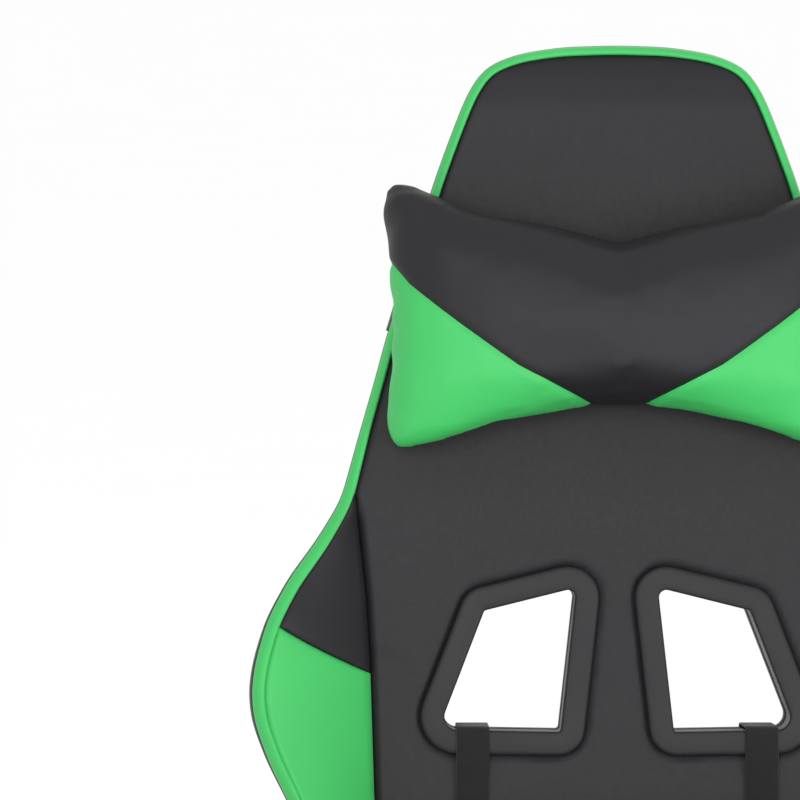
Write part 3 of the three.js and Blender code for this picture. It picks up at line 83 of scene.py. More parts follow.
def back_world(points):
    """(u across, w through, v up the back) in mm to world metres."""
    p = np.asarray(points, float)
    u, w, v = p[..., 0], p[..., 1], p[..., 2]
    y = PIVOT[1] + v * math.sin(LEAN) + w * math.cos(LEAN)
    z = PIVOT[2] + v * math.cos(LEAN) - w * math.sin(LEAN)
    return np.stack([u, y, z], -1) * MM


def world(points):
    return np.asarray(points, float) * MM


def unit(v):
    return v / np.linalg.norm(v, axis=-1, keepdims=True)


def assign(target, **values):
    for name, value in values.items():
        setattr(target, name, value)


def hand(side):
    """The chair's own left is where x is above zero."""
    return "left" if side > 0 else "right"


# ------------ camera
scene = bpy.context.scene
scene.view_settings.view_transform = "Standard"


def added(name, data):
    obj = bpy.data.objects.new(name, data)
    scene.collection.objects.link(obj)
    return obj


def aimed(name, data, place, aim):
    """A new object at place that looks towards aim."""
    obj = added(name, data)
    obj.location = place
    obj.rotation_mode = "QUATERNION"
    obj.rotation_quaternion = (Vector(aim) - Vector(place)).to_track_quat("-Z", "Y")
    return obj


CAMERA_DISTANCE = 4.5
target = Vector(back_world([-161, -42, 537]))
tilt = math.radians(7.0)
eye = Vector((
    -0.17,
    target.y - CAMERA_DISTANCE * math.cos(tilt),
    target.z + CAMERA_DISTANCE * math.sin(tilt),
))
camera_data = bpy.data.cameras.new("camera")
assign(camera_data, lens=272.9, sensor_width=36, clip_end=60)
scene.camera = aimed("camera", camera_data, eye, target)


# ------------ materials
def node_maker(name):
    """A new material with its node tree, its shader and the coordinates its patterns use."""
    material = bpy.data.materials.new(name)
    material.use_nodes = True
    tree = material.node_tree
    shader = tree.nodes["Principled BSDF"]
    coords = tree.nodes.new("ShaderNodeTexCoord").outputs["Object"]
    return material, tree, shader, coords


def feed(tree, node, inputs):
    """Links or sets each named input, as its value is a socket or plain."""
    for name, value in inputs.items():
        if hasattr(value, "links"):
            tree.links.new(value, node.inputs[name])
        else:
            node.inputs[name].default_value = value


def add_node(tree, kind, inputs, **settings):
    node = tree.nodes.new(kind)
    assign(node, **settings)
    feed(tree, node, inputs)
    return node


def noise_node(tree, coords, scale, detail=3.0, rough=0.5):
    inputs = {"Vector": coords, "Scale": scale, "Detail": detail, "Roughness": rough}
    return add_node(tree, "ShaderNodeTexNoise", inputs).outputs["Fac"]


def mapped(tree, value, low, high, from_low=0.3, from_high=0.7):
    inputs = {
        "Value": value, "From Min": from_low, "From Max": from_high, "To Min": low, "To Max": high,
    }
    return add_node(tree, "ShaderNodeMapRange", inputs).outputs["Result"]


def mixed(tree, factor, a, b):
    """The colour at factor between a and b, each of them a socket or three plain numbers."""
    first, second = (c if hasattr(c, "links") else (*c, 1) for c in (a, b))
    inputs = {"Factor": factor, "A": first, "B": second}
    return add_node(tree, "ShaderNodeMix", inputs, data_type="RGBA").outputs["Result"]


def calculated(tree, operation, a, b):
    return add_node(tree, "ShaderNodeMath", {0: a, 1: b}, operation=operation).outputs["Value"]


def shade(base, share):
    return tuple(c * share for c in base)


def bumped(tree, shader, layers):
    """Chains bump layers of (height, strength, distance in metres) into the shader's normal."""
    below = {}
    for height, strength, distance in layers:
        inputs = {"Height": height, "Strength": strength, "Distance": distance, **below}
        below = {"Normal": add_node(tree, "ShaderNodeBump", inputs).outputs["Normal"]}
    feed(tree, shader, below)


def leather(name, base, roughness=0.5, specular=0.32, variation=0.06):
    """Synthetic leather: a fine pebbled grain with creases between the pebbles."""
    material, tree, shader, coords = node_maker(name)
    cells = add_node(tree, "ShaderNodeTexVoronoi", {"Vector": coords, "Scale": 780},
                     feature="DISTANCE_TO_EDGE")
    creases = mapped(tree, cells.outputs["Distance"], 0, 1, 0.0, 0.22)
    broad = noise_node(tree, coords, 9, 4)
    fine = noise_node(tree, coords, 260, 3)
    light = shade(base, 1 + variation)
    colour = mixed(tree, mapped(tree, broad, 0, 1), shade(base, 1 - variation), light)
    feed(tree, shader, {
        "Base Color": mixed(tree, mapped(tree, fine, 0, 0.15, 0.55, 0.8), colour, light),
        "Roughness": mapped(tree, fine, roughness - 0.025, roughness + 0.035),
        "Specular IOR Level": specular,
    })
    bumped(tree, shader, [(broad, 0.2, 0.0012), (creases, 0.15, 0.0001), (fine, 0.05, 0.0001)])
    return material


def plastic(name, base, roughness, grain=0.00008, specular=0.4, scale=1400):
    """Moulded plastic with a spark-eroded grain, its colour and gloss a little uneven."""
    material, tree, shader, coords = node_maker(name)
    grains = noise_node(tree, coords, scale, 2)
    broad = noise_node(tree, coords, 14, 4)
    feed(tree, shader, {
        "Base Color": mixed(tree, mapped(tree, broad, 0, 1), shade(base, 0.85), shade(base, 1.2)),
        "Roughness": mapped(tree, broad, roughness - 0.07, roughness + 0.07),
        "Specular IOR Level": specular,
    })
    bumped(tree, shader, [(grains, 0.5, grain)])
    return material


def coated_steel(name, base, roughness=0.42):
    """Powder coat: an orange-peel surface, paler where its sharpest edges have been rubbed."""
    material, tree, shader, coords = node_maker(name)
    peel = noise_node(tree, coords, 420, 2)
    broad = noise_node(tree, coords, 22, 4)
    edges = tree.nodes.new("ShaderNodeNewGeometry").outputs["Pointiness"]
    patches = mapped(tree, broad, 0, 1)
    wear = calculated(tree, "MULTIPLY", mapped(tree, edges, 0, 0.6, 0.56, 0.64), patches)
    feed(tree, shader, {
        "Base Color": mixed(tree, wear, base, (0.14, 0.14, 0.145)),
        "Roughness": mapped(tree, broad, roughness - 0.08, roughness + 0.1),
        "Metallic": 0.15,
    })
    bumped(tree, shader, [(peel, 0.35, 0.00012)])
    return material


def bare_metal(name, base, roughness, streaks=0.06):
    """Plated or bare steel, with faint lines drawn out round its axis."""
    material, tree, shader, coords = node_maker(name)
    stretch = add_node(tree, "ShaderNodeMapping", {"Vector": coords, "Scale": (1, 1, 14)})
    lines = noise_node(tree, stretch.outputs["Vector"], 240, 3)
    broad = noise_node(tree, coords, 25, 3)
    feed(tree, shader, {
        "Base Color": mixed(tree, mapped(tree, broad, 0, 1), shade(base, 0.9), base),
        "Roughness": mapped(tree, lines, roughness, roughness + streaks),
        "Metallic": 1,
    })
    bumped(tree, shader, [(lines, 0.15, 0.00005)])
    return material


def woven(name, base, pitch=0.0012):
    """Webbing: crossing ribs, with fuzz on them."""
    material, tree, shader, coords = node_maker(name)
    inputs = {"Vector": coords, "Scale": 1 / (pitch * 3.2), "Distortion": 0.6, "Detail": 1}
    ribs = [
        add_node(tree, "ShaderNodeTexWave", inputs, wave_type="BANDS", bands_direction=direction,
                 wave_profile="SIN").outputs["Fac"]
        for direction in ("X", "Z")
    ]
    weave = calculated(tree, "MAXIMUM", *ribs)
    fuzz = noise_node(tree, coords, 600, 3)
    feed(tree, shader, {
        "Base Color": mixed(tree, weave, shade(base, 0.6), base),
        "Roughness": mapped(tree, fuzz, 0.78, 0.92),
        "Specular IOR Level": 0.2,
        "Sheen Weight": 0.15,
    })
    bumped(tree, shader, [(weave, 0.6, 0.0003), (fuzz, 0.2, 0.0001)])
    return material


BLACK_LEATHER = leather("black_leather", (0.0125, 0.0113, 0.0132), 0.53, 0.24)
GREEN_LEATHER = leather("green_leather", (0.044, 0.405, 0.098), 0.5, 0.26, 0.04)
BEZEL_PLASTIC = plastic("bezel_plastic", (0.0125, 0.0115, 0.0132), 0.52, specular=0.27)
BLACK_NYLON = plastic("black_nylon", (0.016, 0.016, 0.017), 0.5, 0.00012)
WHEEL_NYLON = plastic("wheel_nylon", (0.012, 0.012, 0.013), 0.4)
GRIP_PLASTIC = plastic("grip_plastic", (0.02, 0.02, 0.021), 0.62, 0.0002, 0.3, 700)
SOFT_PAD = plastic("soft_pad", (0.021, 0.021, 0.022), 0.66, 0.00025, 0.3, 520)
BLACK_STEEL = coated_steel("black_steel", (0.016, 0.016, 0.017))
CHROME = bare_metal("chrome", (0.62, 0.63, 0.65), 0.08, 0.05)
BARE_STEEL = bare_metal("bare_steel", (0.42, 0.43, 0.44), 0.3, 0.15)
WEBBING = woven("webbing", (0.0125, 0.0115, 0.013))

BLACK, GREEN = "black_upholstery", "green_upholstery"
SLOT_MATERIALS = {
    "black_nylon": BLACK_NYLON, "wheel_nylon": WHEEL_NYLON, "grey_plastic": BEZEL_PLASTIC,
    "grip_plastic": GRIP_PLASTIC, "black_steel": BLACK_STEEL, "chrome": CHROME,
    "bare_steel": BARE_STEEL, BLACK: BLACK_LEATHER, GREEN: GREEN_LEATHER,
    "webbing": WEBBING, "soft_pad": SOFT_PAD,
}


# ------------ mesh helpers
def smooth_shaded(mesh):
    mesh.polygons.foreach_set("use_smooth", [True] * len(mesh.polygons))


def mesh_object(name, verts, faces, material):
    mesh = bpy.data.meshes.new(name)
    mesh.from_pydata([tuple(v) for v in verts], [], faces)
    mesh.materials.append(material)
    mesh.update()
    smooth_shaded(mesh)
    return added(name, mesh)


@contextmanager
def edited(obj):
    """The object's mesh as a bmesh, which is written back afterwards."""
    bm = bmesh.new()
    bm.from_mesh(obj.data)
    yield bm
    bm.to_mesh(obj.data)
    bm.free()


def recalculated(obj):
    with edited(obj) as bm:
        bmesh.ops.recalc_face_normals(bm, faces=bm.faces)
    return obj


def welded(obj):
    """The object with the points joined that its first and last rows share."""
    with edited(obj) as bm:
        bmesh.ops.remove_doubles(bm, verts=bm.verts, dist=1e-6)
    return obj


def finished(obj, body, replaces=()):
    """Ties the piece to its body and hides the CAD nodes it replaces."""
    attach(obj, body)
    if replaces:
        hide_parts(*replaces)
    return obj


def grid_faces(rows, columns, wrap=False, closed=False):
    """Quads of a grid. wrap joins its last column to its first, closed its last row to its first."""
    faces = []
    for i in range(rows if closed else rows - 1):
        here, there = i * columns, (i + 1) % rows * columns
        for j in range(columns if wrap else columns - 1):
            k = (j + 1) % columns
            faces.append((here + j, here + k, there + k, there + j))
    return faces


def patch(name, points, material, keep=None, flip=False, wrap=False):
    """A sheet from a grid of world points. keep says which of its points stay."""
    rows, columns = points.shape[:2]
    faces = grid_faces(rows, columns, wrap)
    if keep is not None:
        faces = [f for f in faces if all(keep[i] for i in f)]
    if flip:
        faces = [f[::-1] for f in faces]
    obj = mesh_object(name, points.reshape(-1, 3), faces, material)
    with edited(obj) as bm:
        bmesh.ops.delete(bm, geom=[v for v in bm.verts if not v.link_faces], context="VERTS")
    return obj


def turned_object(name, profile, material, place=None, sides=64):
    """The closed profile of (radius, height) turned round Z, moved by place, which takes mm points."""
    angles = [2 * math.pi * k / sides for k in range(sides)]
    points = np.array([[(r * math.cos(a), r * math.sin(a), z) for r, z in profile] for a in angles])
    points = place(points) if place else points
    faces = grid_faces(sides, len(profile), True, True)
    obj = recalculated(mesh_object(name, world(points).reshape(-1, 3), faces, material))
    obj.data.set_sharp_from_angle(angle=math.radians(38))
    return obj


def lookup(table, v):
    table = np.asarray(table, float)
    return np.interp(v, table[:, 0], table[:, 1])


def smooth_lookup(table, v, spread=7.0):
    """The table's value averaged over a few millimetres each way, so that it has no corners."""
    offsets = np.linspace(-1, 1, 9) * spread * 1.6
    weights = np.exp(-0.5 * (offsets / spread) ** 2)
    samples = [weight * lookup(table, np.asarray(v) + o) for o, weight in zip(offsets, weights)]
    return sum(samples) / weights.sum()


def resampled(line, count=None, step=1.0, endpoint=True):
    """A line of 2D points as count points, or points a step apart, evenly along it."""
    line = np.asarray(line, float)
    lengths = np.concatenate([[0], np.cumsum(np.linalg.norm(np.diff(line, axis=0), axis=1))])
    at = np.linspace(0, lengths[-1], count or int(lengths[-1] / step), endpoint=endpoint)
    return np.stack([np.interp(at, lengths, line[:, k]) for k in (0, 1)], -1)


# ------------ the back's shape
BACK_HALF_WIDTH = [
    (12, 178), (22, 187), (100, 191), (140, 195), (170, 208), (200, 224), (240.5, 243.6),
    (270, 258), (300, 268.8), (322, 271), (344, 268), (374, 259.5), (404, 244), (433.5, 222.7),
    (463, 205), (508, 192.7), (552, 180), (582, 172), (645, 153), (700.6, 135.6), (730, 125),
    (761.1, 113), (776.925, 104.8), (788.2, 95), (797.2, 72), (802.2, 40),
]
WING_SEAM = [(12, 158), (100, 165), (240, 180), (334, 183), (389, 186), (463, 194), (508, 206)]
WING_RISE = [
    (12, 8), (24, 18), (100, 40), (180, 52), (240, 55), (322, 55), (374, 45), (420, 24), (463, 5),
    (508, 0),
]
CENTRE_FRONT = [
    (460, -40), (520, -36), (560, -32), (600, -29), (700, -28), (760, -25), (786, -18), (800, -6),
]
REAR_FACE = [(700, 35), (760, 32), (786, 26), (800, 12)]
BACK_BOTTOM = 12.0
BACK_TOP = 803.5
BAND_WIDTH = [(430, 9.2), (520, 6.4), (700, 6.2), (800, 6.4)]
WING_TOP = 468.0


def smoothed_closed(points, spread):
    """A closed polyline resampled every millimetre and rounded by a Gaussian of that spread."""
    dense = resampled([*points, points[0]], endpoint=False)
    reach = int(spread * 3)
    kernel = np.exp(-0.5 * (np.arange(-reach, reach + 1) / spread) ** 2)
    kernel /= kernel.sum()
    padded = np.vstack([dense[-reach:], dense, dense[:reach]])
    return np.stack([np.convolve(padded[:, k], kernel, "valid") for k in (0, 1)], -1)


right_side = [(half, v) for v, half in BACK_HALF_WIDTH]
left_side = [(-half, v) for v, half in reversed(BACK_HALF_WIDTH)]
OUTLINE = smoothed_closed([(0, BACK_BOTTOM), *right_side, (0, BACK_TOP), *left_side], 8)
tangent = unit(np.roll(OUTLINE, -3, 0) - np.roll(OUTLINE, 3, 0))
INWARD = np.stack([-tangent[:, 1], tangent[:, 0]], -1)
OUT_BOTTOM, OUT_TOP = OUTLINE[:, 1].min(), OUTLINE[:, 1].max()
PANEL_BOTTOM = OUT_BOTTOM + BAND_WIDTH[0][1]


def band_width(v):
    return smooth_lookup(BAND_WIDTH, v, 8)


def inset_half(v, inset):
    """Half the back's width at height v, measured to the outline moved inward. inset None takes the
    width of the edge band."""
    inset = band_width(OUTLINE[:, 1])[:, None] if inset is None else inset
    curve = OUTLINE + INWARD * inset
    right = curve[: len(curve) // 2]
    right = right[right[:, 0] > 0]
    past_bottom = int(np.argmax(right[:, 0] > right[:, 0].max() * 0.60))
    right = right[past_bottom:]
    heights = np.maximum.accumulate(right[:, 1]) + np.arange(len(right)) * 1e-6
    return np.interp(v, heights, right[:, 0])


def front_w(u, v):
    """Depth of the back's front face before its padding."""
    half = inset_half(v, 0)
    seam = np.minimum(lookup(WING_SEAM, v), half - 22)
    rise = smooth_lookup(WING_RISE, v, 6)
    t = np.clip((np.abs(u) - seam) / np.maximum(half - 10 - seam, 1), 0, 1)
    return smooth_lookup(CENTRE_FRONT, v, 6) + 1.0 - rise * (t + 0.2 * t * (1 - t))


def rear_w(v):
    return smooth_lookup(REAR_FACE, v, 6) - 0.6


# Corners of the clear opening of the cutout at negative u, and their radii. Round it the leather
# stops at LEATHER_EDGE, under a bezel whose face reaches BEZEL_FACE. A bezel's face stands on its seat.
CUTOUT = np.array([(-132.6, 292.5), (-42.1, 291.0), (-30.2, 397.8), (-98.5, 380.8)])
CUTOUT_RADII = (10.0, 2.5, 5.5, 2.5)
LEATHER_EDGE = 9.0
BEZEL_FACE = 18.0
BEZEL_FRONT_SEAT = -40.3
BEZEL_REAR_SEAT = 35.3


def cutout_ring(grow, corner_points=9, straight_steps=12):
    """Points round the cutout moved outward by grow, the same number for every grow."""
    arcs = []
    for i, corner in enumerate(CUTOUT):
        before = unit(CUTOUT[i - 1] - corner)
        after = unit(CUTOUT[(i + 1) % 4] - corner)
        half_angle = math.acos(float(np.dot(before, after))) / 2
        radius = CUTOUT_RADII[i]
        middle = unit(before + after)
        centre = corner + middle * radius / math.sin(half_angle)
        to_start = np.array([before[1], -before[0]])
        if np.dot(to_start, middle) > 0:
            to_start = -to_start
        sweep = math.pi - 2 * half_angle
        angles = math.atan2(to_start[1], to_start[0]) + sweep * np.linspace(0, 1, corner_points)
        arcs.append(centre + (radius + grow) * np.stack([np.cos(angles), np.sin(angles)], -1))
    ring = []
    for arc, following in zip(arcs, arcs[1:] + arcs[:1]):
        straight = (following[0] - arc[-1]) / straight_steps
        ring += [*arc, *(arc[-1] + straight * k for k in range(1, straight_steps))]
    return np.array(ring)


def polygon_distance(points, ring):
    """Distance to a closed polygon, negative inside, and the nearest point on it."""
    p = points[:, None, :]
    a, b = ring[None], np.roll(ring, -1, 0)[None]
    along = b - a
    t = np.clip(((p - a) * along).sum(-1) / np.maximum((along ** 2).sum(-1), 1e-9), 0, 1)
    nearest = a + along * t[..., None]
    gap = np.linalg.norm(p - nearest, axis=-1)
    best = gap.argmin(1)
    rise = np.where(along[..., 1] == 0, 1e-9, along[..., 1])
    crossing = along[..., 0] * (p[..., 1] - a[..., 1]) / rise + a[..., 0]
    crosses = ((a[..., 1] > p[..., 1]) != (b[..., 1] > p[..., 1])) & (p[..., 0] < crossing)
    inside = crosses.sum(1) % 2 == 1
    rows = np.arange(len(points))
    return np.where(inside, -1, 1) * gap[rows, best], nearest[rows, best]


def valley(d, depth, width, shoulder=0.0, reach=9.0):
    """How far padding falls at d from a seam: a tight valley with a long soft shoulder."""
    d = np.abs(d)
    return depth * np.exp(-(d / width) ** 2) + shoulder * np.exp(-d / reach)


def seam_dip(d, depth=1.7, width=2.0):
    """The fall of one of the back's panels towards its own edge, d being the distance inside it."""
    return valley(np.maximum(d, 0), depth, width, 0.9, 11.0)


def undulation(u, v, size=70.0, seed=0.0):
    """Slow unevenness of stuffed leather, about one unit each way."""
    values = [noise.noise(Vector((a / size, b / size, seed))) for a, b in zip(np.ravel(u), np.ravel(v))]
    return np.array(values).reshape(np.shape(u))


def spaced(start, end, step):
    return np.linspace(start, end, max(2, int(abs(end - start) / step) + 1))


def tucked(points, sign, depth=4.0):
    """Turns a panel's outermost points down into its seams."""
    for edge in (points[0], points[-1], points[1:-1, 0], points[1:-1, -1]):
        edge[:, 1] -= sign * depth
    return points


def panel_grid(rows, columns, edge, depth=1.7):
    """u and v of a panel whose columns are shares of its edge, and its fall towards its border."""
    u = columns[None, :] * edge[:, None]
    v = np.repeat(rows[:, None], len(columns), 1)
    border = np.minimum(edge[:, None] - np.abs(u), np.minimum(v - rows[0], rows[-1] - v))
    return u, v, seam_dip(border, depth)


def around_cutouts(u, v, reach, under, depth, width, shoulder=0.0):
    """Draws a panel's points to the cutouts' edges. Returns their new u and v, which of them stay, and
    how far each sinks beside a bezel or under it."""
    flat = np.stack([u.ravel(), v.ravel()], -1)
    keep = np.ones(len(flat), bool)
    sink = np.zeros(len(flat))
    for mirror in (1, -1):
        d, nearest = polygon_distance(flat, cutout_ring(LEATHER_EDGE) * (mirror, 1))
        from_rim, _ = polygon_distance(flat, cutout_ring(BEZEL_FACE) * (mirror, 1))
        keep &= d > -reach
        moved = (d < 0) & (d > -reach)
        flat[moved] = nearest[moved]
        sink = np.maximum(sink, np.where(from_rim > 0, valley(from_rim, depth, width, shoulder), under))
    return flat[:, 0].reshape(u.shape), flat[:, 1].reshape(u.shape), keep, sink.reshape(u.shape)


def front_panel():
    """The black centre panel: seam to seam below, band to band above, with two holes."""
    rows = np.concatenate([
        spaced(PANEL_BOTTOM, 740, 4.2), spaced(742, OUT_TOP - 13, 2.4)[1:],
        spaced(OUT_TOP - 12, OUT_TOP - 6.2, 0.8),
    ])
    columns = np.linspace(-1, 1, 97)
    columns = np.sign(columns) * np.abs(columns) ** 0.9
    edge = np.minimum(inset_half(rows, None), np.where(rows < WING_TOP, lookup(WING_SEAM, rows), 1e3))
    u, v, drop = panel_grid(rows, columns, edge)
    u, v, keep, sink = around_cutouts(u, v, 4.6, 3.6, 1.7, 2.2, 0.5)
    w = front_w(u, v) + drop + sink + 0.5 * undulation(u, v, 85, 1.7)
    creases = np.exp(-((v - 300 - 0.25 * np.abs(u)) / 9) ** 2) * np.clip((np.abs(u) - 150) / 25, 0, 1)
    points = tucked(np.stack([u, w + 1.2 * creases, v], -1), -1)
    obj = patch("back_centre_panel", back_world(points), BLACK_LEATHER, keep=keep)
    return finished(obj, "back", ["back_cushion"])


def wing_line(s):
    """Height of the seam between a wing's black and green leather, inner edge to outer."""
    return 334 + 36 * s


def wing_panel(side, lower):
    """A wing's leather between its seams: the lower panel is green, the upper one black."""
    s = np.linspace(0, 1, 26)
    t = np.concatenate([[0, 0.004], np.linspace(0.012, 0.988, 74 if lower else 34), [0.996, 1]])
    line = wing_line(s)
    start = np.full_like(s, PANEL_BOTTOM) if lower else line
    end = line if lower else np.full_like(s, WING_TOP)
    v = start[None, :] + (end - start)[None, :] * t[:, None]
    outer = inset_half(v, None)
    inner = np.minimum(lookup(WING_SEAM, v), outer - 0.8)
    width = outer - inner
    u = inner + width * s[None, :]
    across = np.minimum(s[None, :], 1 - s[None, :]) * width * 1.15
    along = np.minimum(t[:, None], 1 - t[:, None]) * np.abs(end - start)[None, :]
    drop = seam_dip(np.minimum(across, along * 1.6), 1.3, 1.8)
    belly = 2.0 * np.sin(np.pi * s)[None, :] * np.clip(width / 60, 0, 1)
    w = front_w(u, v) + drop - belly + 0.5 * undulation(u, v, 60, 4.1 + side)
    points = tucked(np.stack([u * side, w, v], -1), -1, 2.0)
    name = ("wing_lower_" if lower else "wing_upper_") + hand(side)
    slot = GREEN if lower else BLACK
    obj = patch(name, back_world(points), SLOT_MATERIALS[slot], flip=side < 0)
    return finished(obj, "back", ())


def rim_values(index):
    """Depths of the front and rear faces beside those outline points, and their edges' radius."""
    inner = OUTLINE[index] + INWARD[index] * 10
    rear_v = OUTLINE[index, 1] + INWARD[index, 1] * 12
    w_front = front_w(inner[:, 0], np.clip(inner[:, 1], OUT_BOTTOM + 10, OUT_TOP - 10))
    w_rear = rear_w(np.clip(rear_v, OUT_BOTTOM, OUT_TOP - 12))
    edge = np.minimum(14, (w_rear - w_front) * 0.35)
    return w_front, w_rear, edge


def rim_point(index, inset, w):
    """Back points at depth w, inset from those outline points by one distance or one for each."""
    spot = OUTLINE[index] + INWARD[index] * np.reshape(inset, (-1, 1))
    return np.stack([spot[:, 0], w, spot[:, 1]], -1)


def along_bottom(index):
    """Whether each outline point is on the straight bottom, which has no green band."""
    return (OUTLINE[index, 1] < OUT_BOTTOM + 14) & (np.abs(OUTLINE[index, 0]) < 172)


def edge_band():
    """The green band sewn round the outline, from the front face over its rounded edge."""
    index = np.arange(0, len(OUTLINE), 4)
    index = index[~along_bottom(index)]
    w_front, _, edge = rim_values(index)
    width = band_width(OUTLINE[index, 1])
    turns = np.radians([-6, -3, 4, 12, 22, 33, 44, 55, 66, 74, 80, 84])
    hems = [(1.2, 5.0), (0.4, 0), *[(0, 0)] * (len(turns) - 3), (3.5, 0)]
    columns = []
    for j, (a, (tuck, sink)) in enumerate(zip(turns, hems)):
        round_edge = math.sin(max(a, 0))
        proud = 0.9 * math.sin(math.pi * j / (len(turns) - 1)) - 0.2
        inset = width * (1 - round_edge) - (proud - 0.5) * round_edge + tuck
        w = w_front + edge * (1 - math.cos(a)) - proud * math.cos(a) + sink
        columns.append(rim_point(index, inset, w))
    points = np.stack(columns, 1)
    obj = recalculated(patch("back_edge_band", back_world(points), GREEN_LEATHER))
    return finished(obj, "back", ())


def side_cover():
    """Black leather from the band round the side to the rear panel, a little fuller at the wings."""
    index = np.arange(0, len(OUTLINE), 5)
    w_front, w_rear, edge = rim_values(index)
    full = 0.1 + 2.6 * np.exp(-((OUTLINE[index, 1] - 310) / 80) ** 2)
    low = along_bottom(index)
    first = np.where(low, 10.0, 0.8)
    w_start = np.where(low, w_front - 0.5, w_front + edge * 0.86)
    columns = [
        rim_point(index, first + 3.0, w_start + np.where(low, 4.0, 1.0)),
        rim_point(index, first, w_start),
    ]
    for t in np.arange(1, 12) / 12:
        bulge = np.sin(np.pi * min(1, t * 1.15)) ** 0.8 * full
        inset = np.where(low, 10.0 * (1 - min(1, t * 3)), 0) - bulge
        columns.append(rim_point(index, inset, w_start + (w_rear - edge - w_start) * t))
    for a in np.radians([20, 40, 60, 78, 90]):
        columns.append(rim_point(index, 12 * (1 - math.cos(a)), w_rear - edge * (1 - math.sin(a))))
    columns.append(rim_point(index, 13.0, w_rear - 3.5))
    points = np.stack(columns, 1)
    points = np.concatenate([points, points[:1]], 0)
    obj = welded(recalculated(patch("back_side_cover", back_world(points), BLACK_LEATHER)))
    return finished(obj, "back", ())


def rear_panel():
    """The black leather of the whole rear face, with two holes."""
    rows = np.concatenate([
        spaced(OUT_BOTTOM + 12, 740, 6), spaced(744, OUT_TOP - 19, 3)[1:],
        spaced(OUT_TOP - 18, OUT_TOP - 11.6, 1.0),
    ])
    u, v, drop = panel_grid(rows, np.linspace(-1, 1, 81), inset_half(rows, 12), 2.0)
    u, v, keep, sink = around_cutouts(u, v, 6, 3.2, 2.0, 2.6)
    w = rear_w(v) - drop - sink + 0.6 * undulation(u, v, 90, 9.3)
    points = tucked(np.stack([u, w, v], -1), 1)
    obj = patch("back_rear_panel", back_world(points), BLACK_LEATHER, keep=keep, flip=True)
    return finished(obj, "back", ())


# ------------ bezels
def bezel(side, front):
    """A moulded ring in a cutout: sleeve, softly crowned face and a rolled outer edge."""
    seat, out = (BEZEL_FRONT_SEAT, -1) if front else (BEZEL_REAR_SEAT, 1)
    face = [
        (0.0, 2.6), (0.2, 3.5), (0.8, 4.1), (1.8, 4.4), (5.5, 4.7), (10.5, 4.7), (14.6, 4.4),
        (16.6, 4.0), (17.6, 3.2), (BEZEL_FACE, 2.0), (BEZEL_FACE, -0.3), (16.5, -0.4), (4.0, -0.6),
        (3.0, -1.8),
    ]
    profile = [(grow, seat + rise * out) for grow, rise in face]
    rows = []
    for grow, w in [(0.0, 0.2 * out), *profile, (3.0, 0.2 * out)]:
        ring = cutout_ring(grow)
        rows.append(np.stack([ring[:, 0] * -side, np.full(len(ring), w), ring[:, 1]], -1))
    points = np.stack([*rows, rows[0]], 0)
    name = ("cutout_bezel_front_" if front else "cutout_bezel_rear_") + hand(side)
    shell = patch(name + "_shell", back_world(points), BEZEL_PLASTIC, wrap=True)
    return finished(recalculated(welded(shell)), "back", [name])


# ------------ stuffing by simulation
STUFFED_COVER = {
    "quality": 5, "mass": 0.3, "tension_stiffness": 12, "compression_stiffness": 12,
    "shear_stiffness": 6, "bending_stiffness": 0.6, "use_pressure": True, "uniform_pressure_force": 4.0,
}
SETTLING_FRAMES = 20
# A point this near a cut, in mm, is taken to lie on it.
ON_THE_CUT = 0.12


def closed_loft(name, rings, material):
    """A closed mesh through rings of equal length, capped at both ends by their middles."""
    rings = np.asarray(rings, float)
    rows, columns = rings.shape[:2]
    verts = list(rings.reshape(-1, 3))
    faces = grid_faces(rows, columns, True)
    for row, first in ((0, True), (rows - 1, False)):
        verts.append(rings[row].mean(0))
        tip = len(verts) - 1
        for j in range(columns):
            a, b = row * columns + j, row * columns + (j + 1) % columns
            faces.append((b, a, tip) if first else (a, b, tip))
    return recalculated(mesh_object(name, verts, faces, material))


def remeshed(obj, voxel):
    modifier = obj.modifiers.new("remesh", "REMESH")
    assign(modifier, mode="VOXEL", voxel_size=voxel, use_smooth_shade=True)
    bake(obj)


def bake(obj):
    """The object's mesh with its modifiers applied."""
    graph = bpy.context.evaluated_depsgraph_get()
    mesh = bpy.data.meshes.new_from_object(obj.evaluated_get(graph), depsgraph=graph)
    old = obj.data
    obj.modifiers.clear()
    obj.data = mesh
    if not mesh.materials:
        mesh.materials.append(old.materials[0])
    bpy.data.meshes.remove(old)


def coordinates(obj):
    co = np.zeros(len(obj.data.vertices) * 3)
    obj.data.vertices.foreach_get("co", co)
    return co.reshape(-1, 3)


def put_coordinates(obj, co):
    obj.data.vertices.foreach_set("co", np.asarray(co, np.float64).ravel())
    obj.data.update()


def normals(obj):
    n = np.zeros(len(obj.data.vertices) * 3)
    obj.data.vertices.foreach_get("normal", n)
    return n.reshape(-1, 3)


def inflated(obj, pinned, cap):
    """Blows the closed mesh up as cloth and lets no point move further than cap."""
    before = coordinates(obj)
    group = obj.vertex_groups.new(name="held")
    group.add([int(i) for i in np.flatnonzero(pinned)], 1.0, "REPLACE")
    cloth = obj.modifiers.new("cloth", "CLOTH")
    assign(cloth.settings, vertex_group_mass="held", **STUFFED_COVER)
    cloth.settings.effector_weights.gravity = 0
    cloth.collision_settings.use_collision = False
    assign(cloth.point_cache, frame_start=1, frame_end=SETTLING_FRAMES)
    for step in range(1, SETTLING_FRAMES + 1):
        scene.frame_set(step)
    bake(obj)
    scene.frame_set(1)
    obj.vertex_groups.clear()
    move = coordinates(obj) - before
    length = np.linalg.norm(move, axis=1)
    move *= (cap * np.tanh(length / cap) / np.maximum(length, 1e-9))[:, None]
    put_coordinates(obj, before + move)


